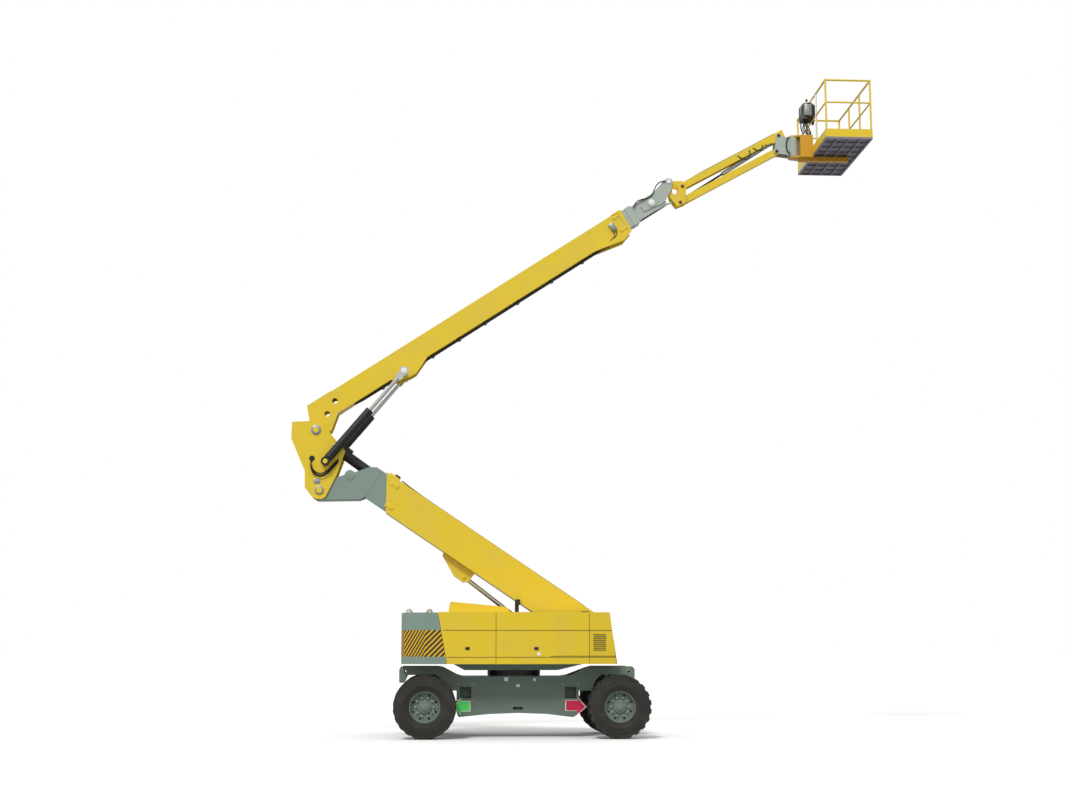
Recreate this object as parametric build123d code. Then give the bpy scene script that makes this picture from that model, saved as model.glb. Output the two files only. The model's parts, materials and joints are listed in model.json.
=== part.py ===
"""Articulating boom lift, in millimetres.

A four-wheel chassis with both axles steered carries a slewing turntable. A lifting arm
with a telescopic extension stands on it and holds an upright knuckle. A three-section
boom, a parallelogram jib and a work basket follow. +X points to the basket end, +Z up,
and the origin is on the ground under the slewing axis.
"""
from build123d import *
import os
from math import atan2, cos, degrees, hypot, pi, radians, sin

os.makedirs("parts", exist_ok=True)

# Clearances and fits
PIN_FIT = 0.05
SEAT = 0.3
GAP = 6.0

# Wheels and axles
TYRE_RADIUS = 575.0
TYRE_WIDTH = 445.0
TYRE_INNER = 800.0
LUG_DEPTH = 22.0
LUG_COUNT = 22
RIM_RADIUS = 282.0
RIM_DISH = 105.0
REAR_AXLE_X = -1670.0
WHEELBASE = 3560.0
KINGPIN_Y = 740.0
KINGPIN_RADIUS = 30.0
SPINDLE_RADIUS = 55.0
AXLE_HEIGHT = 150.0
AXLE_DEPTH = 170.0
STEER_ARM = 240.0
STEER_ROD_RADIUS = 20.0

# Chassis
PLATE_Y = 560.0
PLATE_THICK = 25.0
CHASSIS_REAR = -2153.0
CHASSIS_FRONT = 2237.0
CHASSIS_TOP = 1300.0
DECK_TOP = 1115.0
SOCKET_SIZE = 236.0
SOCKET_X = 980.0
SOCKET_CENTRE_X = 53.0
SOCKET_Z = 818.0
TIE_DOWN_RADIUS = 22.5
TIE_DOWN_INSET = 109.0
TIE_DOWN_Z = 1205.0

# Slewing ring and turntable
RING_RADIUS = 500.0
RING_BORE = 400.0
RING_TOP = 1222.0
BED_BOTTOM = 1227.0
BED_TOP = 1361.0
CHEEK_Y = 275.0
CHEEK_THICK = 25.0
TAIL_X = -2115.0
COWL_Y = 1170.0
COWL_TOP = 2290.0
COWL_BOTTOM = 1345.0
COWL_WALL = 12.0
COWL_INNER_Y = 350.0
COWL_REAR_TOP = -1444.0
COWL_REAR_BOTTOM = -1272.0
COWL_FRONT_TOP = 1735.0
COWL_FRONT_BOTTOM = 1862.0

# Lifting arm, its extension and its cylinder
ARM_PIVOT = (1450.0, 1960.0)
ARM_ANGLE = 33.8
ARM_DEPTH = 644.0
ARM_WIDTH = 500.0
ARM_WALL = 14.0
ARM_MOUTH_LOW = 4450.0
ARM_MOUTH_HIGH = 4900.0
EXT_DEPTH = 588.0
EXT_WIDTH = 452.0
EXT_WALL = 12.0
EXT_REAR = 900.0
HEAD_THICK = 28.0
ARM_CYL_BASE = (1000.0, 1480.0)
ARM_CYL_PIN = (-961.0, 2981.0)
ARM_CYL_RADIUS = 95.0
ARM_ROD_RADIUS = 42.0
ARM_BARREL_LENGTH = 1150.0
ARM_EYE_RADIUS = 66.0

# Knuckle and the cylinder that keeps it upright
KNUCKLE_PIVOT = (-3715.0, 4596.0)
BOOM_PIVOT = (-3800.0, 5751.0)
KNUCKLE_Y = 245.0
KNUCKLE_THICK = 25.0
LEVEL_CYL_BASE = (-3440.0, 5440.0)
LEVEL_CYL_ANGLE = -35.5
LEVEL_CYL_LENGTH = 1980.0
LEVEL_BARREL_LENGTH = 1250.0
LEVEL_CYL_RADIUS = 100.0
LEVEL_ROD_RADIUS = 45.0

# Boom sections
BOOM_ANGLE = 33.3
BOOM_BOTTOM = 65.0
BOOM_DEPTH = 427.0
BOOM_WIDTH = 360.0
BOOM_WALL = 10.0
BOOM_END = 7350.0
MID_DEPTH = 372.0
MID_WIDTH = 312.0
MID_WALL = 9.0
MID_REAR = 750.0
MID_END = 7570.0
FLY_DEPTH = 326.0
FLY_WIDTH = 264.0
FLY_WALL = 8.0
FLY_REAR = 1000.0
FLY_END = 8240.0
BOOM_CYL_BASE = (-3605.0, 5137.0)
BOOM_CYL_PIN_ALONG = 2014.0
BOOM_CYL_PIN_UP = 39.0
BOOM_CYL_Y = 380.0
BOOM_CYL_RADIUS = 82.0
BOOM_ROD_RADIUS = 38.0
BOOM_BARREL_LENGTH = 1290.0
BOOM_EYE_WIDTH = 110.0

# Jib and its head
JIB_ANGLE = 29.0
JIB_PIVOT_ALONG = 8513.0
JIB_PIVOT_UP = 460.0
JIB_PIN_ALONG = 205.0
JIB_PIN_UP = -205.0
LOWER_PIN_ALONG = 5.0
LOWER_PIN_UP = -470.0
JIB_LENGTH = 2245.0
LINK_Y = 104.0
LINK_THICK = 14.0
UPPER_Y = 86.0
LOWER_Y = 68.0
CHANNEL_WALL = 12.0
FORK_THICK = 18.0
LINK_PIN_RADIUS = 22.0
JIB_CYL_BACK = 150.0
JIB_CYL_DROP = -45.0
JIB_CYL_EYE = 0.8
JIB_CYL_RADIUS = 42.0
JIB_ROD_RADIUS = 20.0
JIB_CYL_Y = 0.0
JIB_BARREL_LENGTH = 1230.0
TIP_CYL_BACK = 1600.0
TIP_CYL_UP = -190.0
TIP_CYL_RADIUS = 38.0
TIP_ROD_RADIUS = 18.0
TIP_CYL_Y = -46.0
TIP_BARREL_LENGTH = 980.0
TIP_EYE_ALONG = -45.0
TIP_EYE_UP = -380.0

# Basket
ROTATOR_X = 5600.0
BASKET_X = 5990.0
BASKET_DEPTH = 920.0
BASKET_LENGTH = 2450.0
HEAD_TOP = 11800.0
HEAD_BOTTOM = 11400.0
BASKET_FLOOR = 11410.0
BASKET_RAIL = 12620.0
KICK_HEIGHT = 160.0
RAIL_RADIUS = 19.0
MID_RAIL = 12150.0

FRONT_AXLE_X = REAR_AXLE_X + WHEELBASE


def box(x0, x1, y0, y1, z0, z1):
    """Solid block between two corners."""
    return Pos((x0 + x1) / 2, (y0 + y1) / 2, (z0 + z1) / 2) * Box(x1 - x0, y1 - y0, z1 - z0)


def plate(points, y0, y1):
    """Flat plate with an outline in X and Z, from y0 to y1."""
    wire = Polyline(*[(x, y0, z) for x, z in points], close=True)
    return extrude(make_face(wire), amount=y1 - y0, dir=(0, 1, 0))


def slab(points, z0, z1):
    """Flat plate with an outline in X and Y, from z0 to z1."""
    wire = Polyline(*[(x, y, z0) for x, y in points], close=True)
    return extrude(make_face(wire), amount=z1 - z0, dir=(0, 0, 1))


def pair(points, y0, y1):
    """The same plate on both sides of the middle plane."""
    return plate(points, y0, y1) + plate(points, -y1, -y0)


def rod_y(x, z, radius, y0, y1):
    """Round bar along Y."""
    return Pos(x, (y0 + y1) / 2, z) * Rot(90, 0, 0) * Cylinder(radius, y1 - y0)


def rod_z(x, y, radius, z0, z1):
    """Round bar along Z."""
    return Pos(x, y, (z0 + z1) / 2) * Cylinder(radius, z1 - z0)


def rod_x(y, z, radius, x0, x1):
    """Round bar along X."""
    return Pos((x0 + x1) / 2, y, z) * Rot(0, 90, 0) * Cylinder(radius, x1 - x0)


def tube_section(x0, x1, width, z0, z1, wall):
    """Rectangular tube along X."""
    outer = box(x0, x1, -width / 2, width / 2, z0, z1)
    inner = box(x0 - 1, x1 + 1, -width / 2 + wall, width / 2 - wall, z0 + wall, z1 - wall)
    return outer - inner


def bar(start, end, radius):
    """Round bar between two points."""
    line = Line(start, end)
    return sweep(Plane(origin=start, z_dir=line % 0) * Circle(radius), path=line)


def along(origin, angle, facing=1):
    """Frame in the middle plane: X runs at angle above the ground, facing +X or -X."""
    a = radians(angle)
    x_dir = (facing * cos(a), 0, sin(a))
    z_dir = (-facing * sin(a), 0, cos(a))
    return Plane(origin=(origin[0], 0, origin[1]), x_dir=x_dir, z_dir=z_dir).location


def point_at(origin, angle, forward, up):
    """World X and Z of a point given forward and up in a frame at angle."""
    a = radians(angle)
    x = origin[0] + forward * cos(a) - up * sin(a)
    z = origin[1] + forward * sin(a) + up * cos(a)
    return (x, z)


def direction(start, end):
    """Angle of the line between two points, in degrees above +X."""
    return degrees(atan2(end[1] - start[1], end[0] - start[0]))


def distance(start, end):
    return hypot(end[0] - start[0], end[1] - start[1])


ARM = along(ARM_PIVOT, ARM_ANGLE, -1)
BOOM = along(BOOM_PIVOT, BOOM_ANGLE)
BOOM_CYL_PIN = point_at(BOOM_PIVOT, BOOM_ANGLE, BOOM_CYL_PIN_ALONG, BOOM_CYL_PIN_UP)
JIB_PIVOT = point_at(BOOM_PIVOT, BOOM_ANGLE, JIB_PIVOT_ALONG, JIB_PIVOT_UP)
JIB = along(JIB_PIVOT, JIB_ANGLE)
UPPER_PIN = point_at(JIB_PIVOT, JIB_ANGLE, JIB_PIN_ALONG, JIB_PIN_UP)
LOWER_PIN = point_at(JIB_PIVOT, JIB_ANGLE, LOWER_PIN_ALONG, LOWER_PIN_UP)
UPPER_END = point_at(UPPER_PIN, JIB_ANGLE, JIB_LENGTH, 0)
LOWER_END = point_at(LOWER_PIN, JIB_ANGLE, JIB_LENGTH, 0)
UPPER = along(UPPER_PIN, JIB_ANGLE)
LOWER = along(LOWER_PIN, JIB_ANGLE)
JIB_CYL_BASE = point_at(UPPER_PIN, JIB_ANGLE, JIB_LENGTH - JIB_CYL_BACK, JIB_CYL_DROP)
JIB_CYL_PIN = (UPPER_PIN[0] + JIB_CYL_EYE * (LOWER_PIN[0] - UPPER_PIN[0]),
               UPPER_PIN[1] + JIB_CYL_EYE * (LOWER_PIN[1] - UPPER_PIN[1]))
TIP_CYL_BASE = point_at(JIB_PIVOT, BOOM_ANGLE, -TIP_CYL_BACK, TIP_CYL_UP)
TIP_CYL_PIN = point_at(JIB_PIVOT, JIB_ANGLE, TIP_EYE_ALONG, TIP_EYE_UP)
LEVEL_CYL_PIN = point_at(LEVEL_CYL_BASE, LEVEL_CYL_ANGLE, LEVEL_CYL_LENGTH, 0)


def corner_name(x_sign, y_sign):
    end = "front" if x_sign > 0 else "rear"
    side = "left" if y_sign > 0 else "right"
    return end + "_" + side


def at_wheel(shape, x_sign, y_sign):
    """Puts a piece drawn for the near side at X = 0 in its wheel's place."""
    x = FRONT_AXLE_X if x_sign > 0 else REAR_AXLE_X
    placed = shape if y_sign < 0 else shape.mirror(Plane.XZ)
    return Pos(x, 0, 0) * placed


def tyre():
    """Near-side tyre at X = 0: a carcass with two rows of shoulder lugs, staggered."""
    carcass = TYRE_RADIUS - LUG_DEPTH
    half = TYRE_WIDTH / 2
    mid = TYRE_INNER + half
    side = [(half - 35, RIM_RADIUS + SEAT), (half, RIM_RADIUS + 100), (half - 8, carcass - 70), (half - 40, carcass - 6)]
    profile = [(y - mid, r) for y, r in side] + [(-y - mid, r) for y, r in reversed(side)]
    wire = Polyline(*[(0, y, TYRE_RADIUS + r) for y, r in profile], close=True)
    body = revolve(make_face(wire), Axis((0, 0, TYRE_RADIUS), (0, 1, 0)))
    pitch = 2 * pi / LUG_COUNT
    for row, phase in ((-1, 0.0), (1, 0.5)):
        points = []
        for i in range(LUG_COUNT):
            a = (i + phase) * pitch
            for turn, radius in ((-0.30, carcass), (-0.26, TYRE_RADIUS), (0, TYRE_RADIUS), (0.26, TYRE_RADIUS), (0.30, carcass)):
                b = a + turn * pitch
                points.append((radius * sin(b), TYRE_RADIUS + radius * cos(b)))
        edges = sorted((row * (half - 14) - mid, row * 12 - mid))
        ring = plate(points, edges[0], edges[1])
        ring -= rod_y(0, TYRE_RADIUS, carcass - 60, edges[0] - 1, edges[1] + 1)
        body += ring
    return body


def rim():
    """Near-side wheel rim at X = 0: barrel, recessed disc, hub and nuts."""
    z = TYRE_RADIUS
    outer_face = -(TYRE_INNER + TYRE_WIDTH - 40)
    inner_face = -(TYRE_INNER + 40)
    barrel = rod_y(0, z, RIM_RADIUS, outer_face, inner_face)
    barrel -= rod_y(0, z, RIM_RADIUS - 14, outer_face - 1, inner_face + 1)
    disc_y = -(TYRE_INNER + TYRE_WIDTH - 40 - RIM_DISH)
    disc = rod_y(0, z, RIM_RADIUS - 7, disc_y, disc_y + 14)
    hub = rod_y(0, z, 100, disc_y - 40, disc_y + 70)
    body = barrel + disc + hub
    for i in range(10):
        a = radians(36 * i)
        body += rod_y(167.5 * cos(a), z + 167.5 * sin(a), 16, disc_y - 26, disc_y + 1)
    for i in range(8):
        a = radians(45 * i + 22.5)
        body -= rod_y(222 * cos(a), z + 222 * sin(a), 22, disc_y - 5, disc_y + 20)
    bore = rod_y(0, z, SPINDLE_RADIUS + PIN_FIT, disc_y - 20, disc_y + 80)
    return body - bore


def steer_knuckle(x_sign):
    """Near-side steering knuckle at X = 0: kingpin, spindle housing and steering arm."""
    z = TYRE_RADIUS
    disc_y = -(TYRE_INNER + TYRE_WIDTH - 40 - RIM_DISH)
    kingpin = rod_z(0, -KINGPIN_Y, KINGPIN_RADIUS, z - 150, z + 150)
    barrel = rod_z(0, -KINGPIN_Y, 62, z - 88, z + 88)
    neck = rod_y(0, z, 84, -KINGPIN_Y - 90, -KINGPIN_Y)
    housing = rod_y(0, z, 165, disc_y + 80, -KINGPIN_Y - 88)
    spindle = rod_y(0, z, SPINDLE_RADIUS, disc_y - 15, disc_y + 90)
    side = -x_sign
    arm = slab([(-side * 20, -KINGPIN_Y + 45), (-side * 20, -KINGPIN_Y - 45),
                (side * STEER_ARM, -KINGPIN_Y - 32), (side * (STEER_ARM + 35), -KINGPIN_Y),
                (side * STEER_ARM, -KINGPIN_Y + 32)], z - 15, z + 15)
    return kingpin + barrel + neck + housing + spindle + arm


def axle(x, x_sign):
    """Steered axle: beam, yokes for the kingpins, steering cylinder and its saddle."""
    z = TYRE_RADIUS
    half = AXLE_DEPTH / 2
    low = z - AXLE_HEIGHT / 2
    high = z + AXLE_HEIGHT / 2
    beam = box(x - half, x + half, -600, 600, low, high)
    beam += box(x - 130, x + 130, -170, 170, low - 20, high + 20)
    for side in (-1, 1):
        stem = box(x - half, x + half, side * 600 - 45, side * 600 + 45, z - 150, z + 150)
        beam += stem
        for z0 in (z - 150, z + 95):
            ear = box(x - 70, x + 70, min(side * 600, side * KINGPIN_Y), max(side * 600, side * KINGPIN_Y),
                      z0, z0 + 55)
            ear += rod_z(x, side * KINGPIN_Y, 70, z0, z0 + 55)
            beam += ear
        beam -= rod_z(x, side * KINGPIN_Y, KINGPIN_RADIUS + PIN_FIT, z - 160, z + 160)
    inward = -x_sign
    cyl_x = x + inward * STEER_ARM
    cylinder = rod_y(cyl_x, z + 52, 45, -230, 230)
    cylinder -= rod_y(cyl_x, z + 52, STEER_ROD_RADIUS + PIN_FIT, -240, 240)
    for y in (-170, 170):
        saddle = box(min(x, cyl_x), max(x, cyl_x), y - 20, y + 20, z + 20, z + 70)
        cylinder += saddle - rod_y(cyl_x, z + 52, STEER_ROD_RADIUS + PIN_FIT, -240, 240)
    return beam + cylinder


def steer_rod(x, x_sign):
    """Steering rod through its cylinder, with an eye over each steering arm."""
    z = TYRE_RADIUS + 52
    cyl_x = x - x_sign * STEER_ARM
    body = rod_y(cyl_x, z, STEER_ROD_RADIUS, -KINGPIN_Y + 30, KINGPIN_Y - 30)
    for side in (-1, 1):
        body += rod_z(cyl_x, side * KINGPIN_Y, 32, TYRE_RADIUS + 15 + SEAT, z + 22)
    return body


def side_outline():
    """Chassis side plate in X and Z: a strip over each axle and a deep middle."""
    arch_rear = [(-2210 + 60, 1000), (-2060, 1000), (-2000, 1140), (-1480, 1150), (-1380, 1080), (-1300, 855),
                 (-1075, 855), (-1075, 420), (-1040, 372)]
    arch_front = [(1075, 366), (1180, 420), (1188, 855), (1430, 855), (1501, 1037), (1600, 1150),
                  (2080, 1140), (2140, 1000), (CHASSIS_FRONT, 1000)]
    bottom = [(-500, 425), (50, 446), (600, 425)]
    top = [(CHASSIS_FRONT, CHASSIS_TOP - 50), (CHASSIS_FRONT - 50, CHASSIS_TOP), (1500, CHASSIS_TOP),
           (1400, 1270), (1040, DECK_TOP + 20), (900, DECK_TOP), (-970, DECK_TOP), (-1060, DECK_TOP + 25),
           (-1330, 1280), (-1420, CHASSIS_TOP), (CHASSIS_REAR + 50, CHASSIS_TOP), (CHASSIS_REAR, CHASSIS_TOP - 50)]
    return arch_rear + bottom + arch_front + top


def socket_places():
    """Centres of the four square sockets as (x, side)."""
    return [(x, side) for side in (-1, 1) for x in (SOCKET_CENTRE_X - SOCKET_X + 5, SOCKET_CENTRE_X + SOCKET_X)]


def socket_box(x, side, inward, outward, half):
    """Block round a socket's centre, from inside the side plate to a place outside it."""
    near, far = sorted((side * (PLATE_Y - inward), side * (PLATE_Y + outward)))
    return box(x - half, x + half, near, far, SOCKET_Z - half, SOCKET_Z + half)


def chassis_side(side):
    """One side plate of the chassis with its two square sockets and its tie-down holes."""
    near, far = sorted((side * (PLATE_Y - PLATE_THICK), side * PLATE_Y))
    body = plate(side_outline(), near, far)
    for x in (CHASSIS_REAR + TIE_DOWN_INSET, CHASSIS_FRONT - TIE_DOWN_INSET):
        body -= rod_y(x, TIE_DOWN_Z, TIE_DOWN_RADIUS, near - 5, far + 5)
    half = SOCKET_SIZE / 2
    for x, place in socket_places():
        if place == side:
            body += socket_box(x, side, 240, 0, half)
            body -= socket_box(x, side, 228, 5, half - 12)
    return body


def chassis_frame():
    """Decks, cross walls and the pedestal of the slewing ring, between the side plates."""
    inner = PLATE_Y - PLATE_THICK - SEAT
    body = box(-1049, 1119, -inner, inner, DECK_TOP - 25, DECK_TOP)
    body += box(-1030, 1100, -inner, inner, 446, 464)
    body += box(-1050, -1030, -inner, inner, 446, DECK_TOP)
    body += box(1100, 1120, -inner, inner, 446, DECK_TOP)
    body += box(CHASSIS_REAR + 20, -1380, -inner, inner, CHASSIS_TOP - 30, CHASSIS_TOP - 12)
    body += box(1450, CHASSIS_FRONT - 20, -inner, inner, CHASSIS_TOP - 30, CHASSIS_TOP - 12)
    body += plate([(-1400, CHASSIS_TOP - 12), (-1400, CHASSIS_TOP - 30), (-1040, DECK_TOP - 20),
                   (-1004, DECK_TOP - 5)], -inner, inner)
    body += plate([(1470, CHASSIS_TOP - 12), (1470, CHASSIS_TOP - 30), (1108, DECK_TOP - 20),
                   (1074, DECK_TOP - 5)], -inner, inner)
    body += box(CHASSIS_REAR + 20, CHASSIS_REAR + 40, -inner, inner, 1010, CHASSIS_TOP - 12)
    body += box(CHASSIS_FRONT - 40, CHASSIS_FRONT - 20, -inner, inner, 1010, CHASSIS_TOP - 12)
    body += rod_z(0, 0, 480, DECK_TOP - 1, 1130) - rod_z(0, 0, 390, DECK_TOP - 30, 1140)
    for x in (REAR_AXLE_X, FRONT_AXLE_X):
        top = CHASSIS_TOP - 30
        bottom = TYRE_RADIUS + AXLE_HEIGHT / 2 + 20 + SEAT
        body += box(x - 130, x + 130, -170, 170, bottom, top + 1)
    for x, side in socket_places():
        body -= socket_box(x, side, 240 + SEAT, 5, SOCKET_SIZE / 2 + SEAT)
    body -= rod_z(-760, 0, 90, 440, 470)
    body -= rod_z(800, 0, 90, 440, 470)
    return body


def slew_ring():
    """Fixed race of the slewing ring on the pedestal."""
    return rod_z(0, 0, RING_RADIUS, 1130 + SEAT, RING_TOP) - rod_z(0, 0, RING_BORE, 1120, RING_TOP + 5)


def turntable_bed():
    """Turntable bed with its tapered underside, cheek plates and the arm's pivot pin."""
    taper = plate([(-1161, BED_TOP - 16), (1303, BED_TOP - 16), (804, BED_BOTTOM), (-941, BED_BOTTOM)],
                  -450, 450)
    bed = box(-2040, 1830, -560, 560, BED_TOP - 16, BED_TOP)
    spigot = rod_z(0, 0, RING_BORE - PIN_FIT, 1140, BED_BOTTOM + 1)
    px, pz = ARM_PIVOT
    outline = [(-1250, BED_TOP - 1), (1700, BED_TOP - 1), (1700, 1900), (px + 150, pz + 120), (px + 90, pz + 200),
               (px - 90, pz + 200), (px - 200, pz + 100), (500, 1800), (-900, 1640), (-1250, 1560)]
    cheeks = pair(outline, CHEEK_Y, CHEEK_Y + CHEEK_THICK)
    boss = rod_y(px, pz, 130, CHEEK_Y - 18, CHEEK_Y + CHEEK_THICK + 15)
    boss += rod_y(px, pz, 130, -CHEEK_Y - CHEEK_THICK - 15, -CHEEK_Y + 18)
    pin = rod_y(px, pz, 60, -CHEEK_Y - 60, CHEEK_Y + 60)
    bx, bz = ARM_CYL_BASE
    lugs = pair([(bx - 150, BED_TOP - 1), (bx + 150, BED_TOP - 1), (bx + 60, bz + 70), (bx - 60, bz + 70)],
                75, 95)
    cyl_pin = rod_y(bx, bz, 35, -100, 100)
    inner = COWL_INNER_Y - GAP
    end = plate([(COWL_FRONT_TOP - 14, COWL_TOP - 4), (COWL_FRONT_TOP, COWL_TOP - 4), (COWL_FRONT_BOTTOM, BED_TOP - 16),
                 (COWL_FRONT_BOTTOM - 14, BED_TOP - 16)], -inner, inner)
    bed += box(1800, COWL_FRONT_BOTTOM - 8, -inner, inner, BED_TOP - 16, BED_TOP)
    wing = slab([(-1180, -1080), (1100, -1080), (1700, -900), (1840, -500), (1840, -300), (-1180, -300)], BED_TOP - 16, BED_TOP)
    return taper + bed + spigot + cheeks + boss + pin + lugs + cyl_pin + end + wing + wing.mirror(Plane.XZ)


def counterweight():
    """Tail weight: rounded corners in plan, a slanted front face and a channel for the arm."""
    y = COWL_Y
    plan = [(-1200, -y), (-1680, -y), (TAIL_X + 60, -y + 260), (TAIL_X, -y + 420), (TAIL_X, y - 420),
            (TAIL_X + 60, y - 260), (-1680, y), (-1200, y)]
    body = slab(plan, COWL_BOTTOM, COWL_TOP - 10)
    slope = (COWL_REAR_BOTTOM - COWL_REAR_TOP) / (COWL_TOP - COWL_BOTTOM)
    front = plate([(COWL_REAR_TOP - GAP - 50 * slope, COWL_TOP + 50), (COWL_REAR_BOTTOM - GAP + 20 * slope, COWL_BOTTOM - 20),
                   (0, COWL_BOTTOM - 20), (0, COWL_TOP + 50)], -y - 10, y + 10)
    body -= front
    body -= box(TAIL_X - 10, 0, -320, 320, 1600, COWL_TOP + 50)
    body -= box(-1760, 0, -320, 320, COWL_BOTTOM - 5, COWL_TOP + 50)
    body -= box(-2050, 0, -565, 565, COWL_BOTTOM - 5, BED_TOP + SEAT)
    body -= box(-1400, 0, -700, 700, COWL_BOTTOM - 5, COWL_TOP + 50)
    return body


def engine_block():
    return box(-1100, 300, 420, 930, BED_TOP + SEAT, 2050)


def fluid_tanks():
    return box(-1050, -150, -950, -420, BED_TOP + SEAT, 2000) + box(-60, 900, -950, -420, BED_TOP + SEAT, 1850)


def exhaust():
    """Upright silencer with a round cap, beside the arm."""
    return rod_z(25, -322, 20, BED_TOP + SEAT, 2290) + rod_z(25, -322, 22, 2280, 2526)


def cowl_plan(y, front, rear):
    """Plan of a cowl: straight at the back, drawn in towards the front."""
    return [(rear, -COWL_INNER_Y), (rear, -y), (0, -y), (700, -y + 25), (1350, -y + 110), (front, -y + 260),
            (front, -COWL_INNER_Y)]


def cowl_profile(inset):
    """Side view of a cowl between its slanted ends, with its front end moved in."""
    slope = (COWL_REAR_BOTTOM - COWL_REAR_TOP) / (COWL_TOP - COWL_BOTTOM)
    rise = 300
    return [(COWL_REAR_TOP - slope * rise, COWL_TOP + rise), (COWL_REAR_BOTTOM, COWL_BOTTOM), (COWL_REAR_BOTTOM, COWL_BOTTOM - 10),
            (COWL_FRONT_BOTTOM - inset, COWL_BOTTOM - 10), (COWL_FRONT_BOTTOM - inset, COWL_BOTTOM),
            (COWL_FRONT_TOP - inset, COWL_TOP), (COWL_FRONT_TOP - inset, COWL_TOP + rise)]


def cowl():
    """Near-side cowl: a thin shell open below, to the rear and towards the arm."""
    outer = slab(cowl_plan(COWL_Y, 1900, -1500), COWL_BOTTOM, COWL_TOP)
    outer += plate([(-1250, COWL_TOP - 20), (-1217, 2484), (-176, 2389), (-88, COWL_TOP - 20)], -900, -520)
    outer &= plate(cowl_profile(0), -1300, -300)
    inner = slab(cowl_plan(COWL_Y - COWL_WALL, 1900, -1500), COWL_BOTTOM - 5, COWL_TOP - COWL_WALL)
    inner += box(-1600, 2000, -COWL_INNER_Y - 30, -COWL_INNER_Y + 5, COWL_BOTTOM - 5, COWL_TOP - COWL_WALL)
    inner += plate([(-1232, COWL_TOP - 30), (-1205, 2470), (-184, 2377), (-102, COWL_TOP - 30)], -888, -532)
    rear = plate([(-1600, COWL_BOTTOM - 20), (-1600, COWL_TOP + 300), (COWL_FRONT_TOP - 14, COWL_TOP + 300),
                  (COWL_FRONT_TOP - 14, COWL_TOP), (COWL_FRONT_BOTTOM - 14, COWL_BOTTOM), (COWL_FRONT_BOTTOM - 14, COWL_BOTTOM - 20)],
                 -1310, -290)
    return outer - (inner & rear)


def lower_arm():
    """Lifting arm: rectangular tube, pivot tube, cylinder lug and wear pads at its mouth."""
    half = ARM_DEPTH / 2
    tube = tube_section(-260, ARM_MOUTH_HIGH, ARM_WIDTH, -half, half, ARM_WALL)
    cut = plate([(ARM_MOUTH_LOW, -half - 50), (ARM_MOUTH_HIGH + 35, half + 50), (ARM_MOUTH_HIGH + 400, half + 50),
                 (ARM_MOUTH_HIGH + 400, -half - 50)], -400, 400)
    tube -= cut
    tube -= plate([(-270, half + 10), (60, half + 10), (-270, 60)], -400, 400)
    tube += box(-246, -232, -ARM_WIDTH / 2 + 1, ARM_WIDTH / 2 - 1, -half + 1, 60)
    tube += rod_y(0, 0, 95, -ARM_WIDTH / 2 - 5, ARM_WIDTH / 2 + 5)
    tube -= rod_y(0, 0, 60 + PIN_FIT, -300, 300)
    pin_s, pin_t = arm_local(ARM_CYL_PIN)
    lug = pair([(pin_s + 570, -half + 1), (pin_s + 570, -half - 60), (pin_s + 160, pin_t - 92), (pin_s - 50, pin_t - 96),
                (pin_s - 125, pin_t - 30), (pin_s - 140, -half + 1)], 62, 87)
    lug += rod_y(pin_s, pin_t, 34, -115, -62) + rod_y(pin_s, pin_t, 34, 62, 115)
    tube += lug
    slot = box(pin_s - 240, pin_s + 240, -63, 63, -half - 1, -half + ARM_WALL + 1)
    tube -= slot
    pads = box(ARM_MOUTH_LOW - 260, ARM_MOUTH_LOW - 60, -150, 150, -half + ARM_WALL - 1, -EXT_DEPTH / 2 - SEAT)
    pads += box(ARM_MOUTH_HIGH - 360, ARM_MOUTH_HIGH - 160, -150, 150, EXT_DEPTH / 2 + SEAT, half - ARM_WALL + 1)
    tube += pads
    tube += box(ARM_MOUTH_HIGH - 260, ARM_MOUTH_HIGH - 60, -120, 120, half - 1, half + 45)
    return ARM * tube


def arm_local(point):
    """A point of the middle plane in the arm's own frame."""
    a = radians(ARM_ANGLE)
    dx = point[0] - ARM_PIVOT[0]
    dz = point[1] - ARM_PIVOT[1]
    return (-dx * cos(a) + dz * sin(a), dx * sin(a) + dz * cos(a))


def arm_extension():
    """Sliding section with its flared head, open on top for the levelling cylinder."""
    half = EXT_DEPTH / 2
    tube = tube_section(EXT_REAR, 5010, EXT_WIDTH, -half, half, EXT_WALL)
    ks, kt = arm_local(KNUCKLE_PIVOT)
    outline = [(4980, -half), (5040, -393), (ks - 60, kt - 170), (ks + 60, kt - 165), (ks + 150, kt - 80),
               (ks + 172, kt), (ks + 120, kt + 130), (5655, -313), (5402, -16), (5228, 216), (5111, half), (4980, half)]
    width = EXT_WIDTH / 2 + 6
    head = pair(outline, width - HEAD_THICK, width)
    floor = [(5000, -half + 1), (5040, -392), (ks - 60, kt - 169), (ks - 68, kt - 150), (5048, -375), (5014, -half + 12)]
    head += plate(floor, -width + 5, width - 5)
    head += rod_y(ks, kt, 110, -width, width)
    head -= rod_y(ks, kt, 55 + PIN_FIT, -300, 300)
    qs, qt = arm_local(LEVEL_CYL_PIN)
    lug = pair([(qs - 140, -half + 1), (qs + 140, -half + 1), (qs + 70, qt + 60), (qs - 70, qt + 60)], 62, 80)
    pads = box(EXT_REAR + 20, EXT_REAR + 220, -150, 150, half - 1, ARM_DEPTH / 2 - ARM_WALL - SEAT)
    pads += box(EXT_REAR + 20, EXT_REAR + 220, -150, 150, -ARM_DEPTH / 2 + ARM_WALL + SEAT, -half + 1)
    return ARM * (tube + head + lug + pads)


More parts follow.
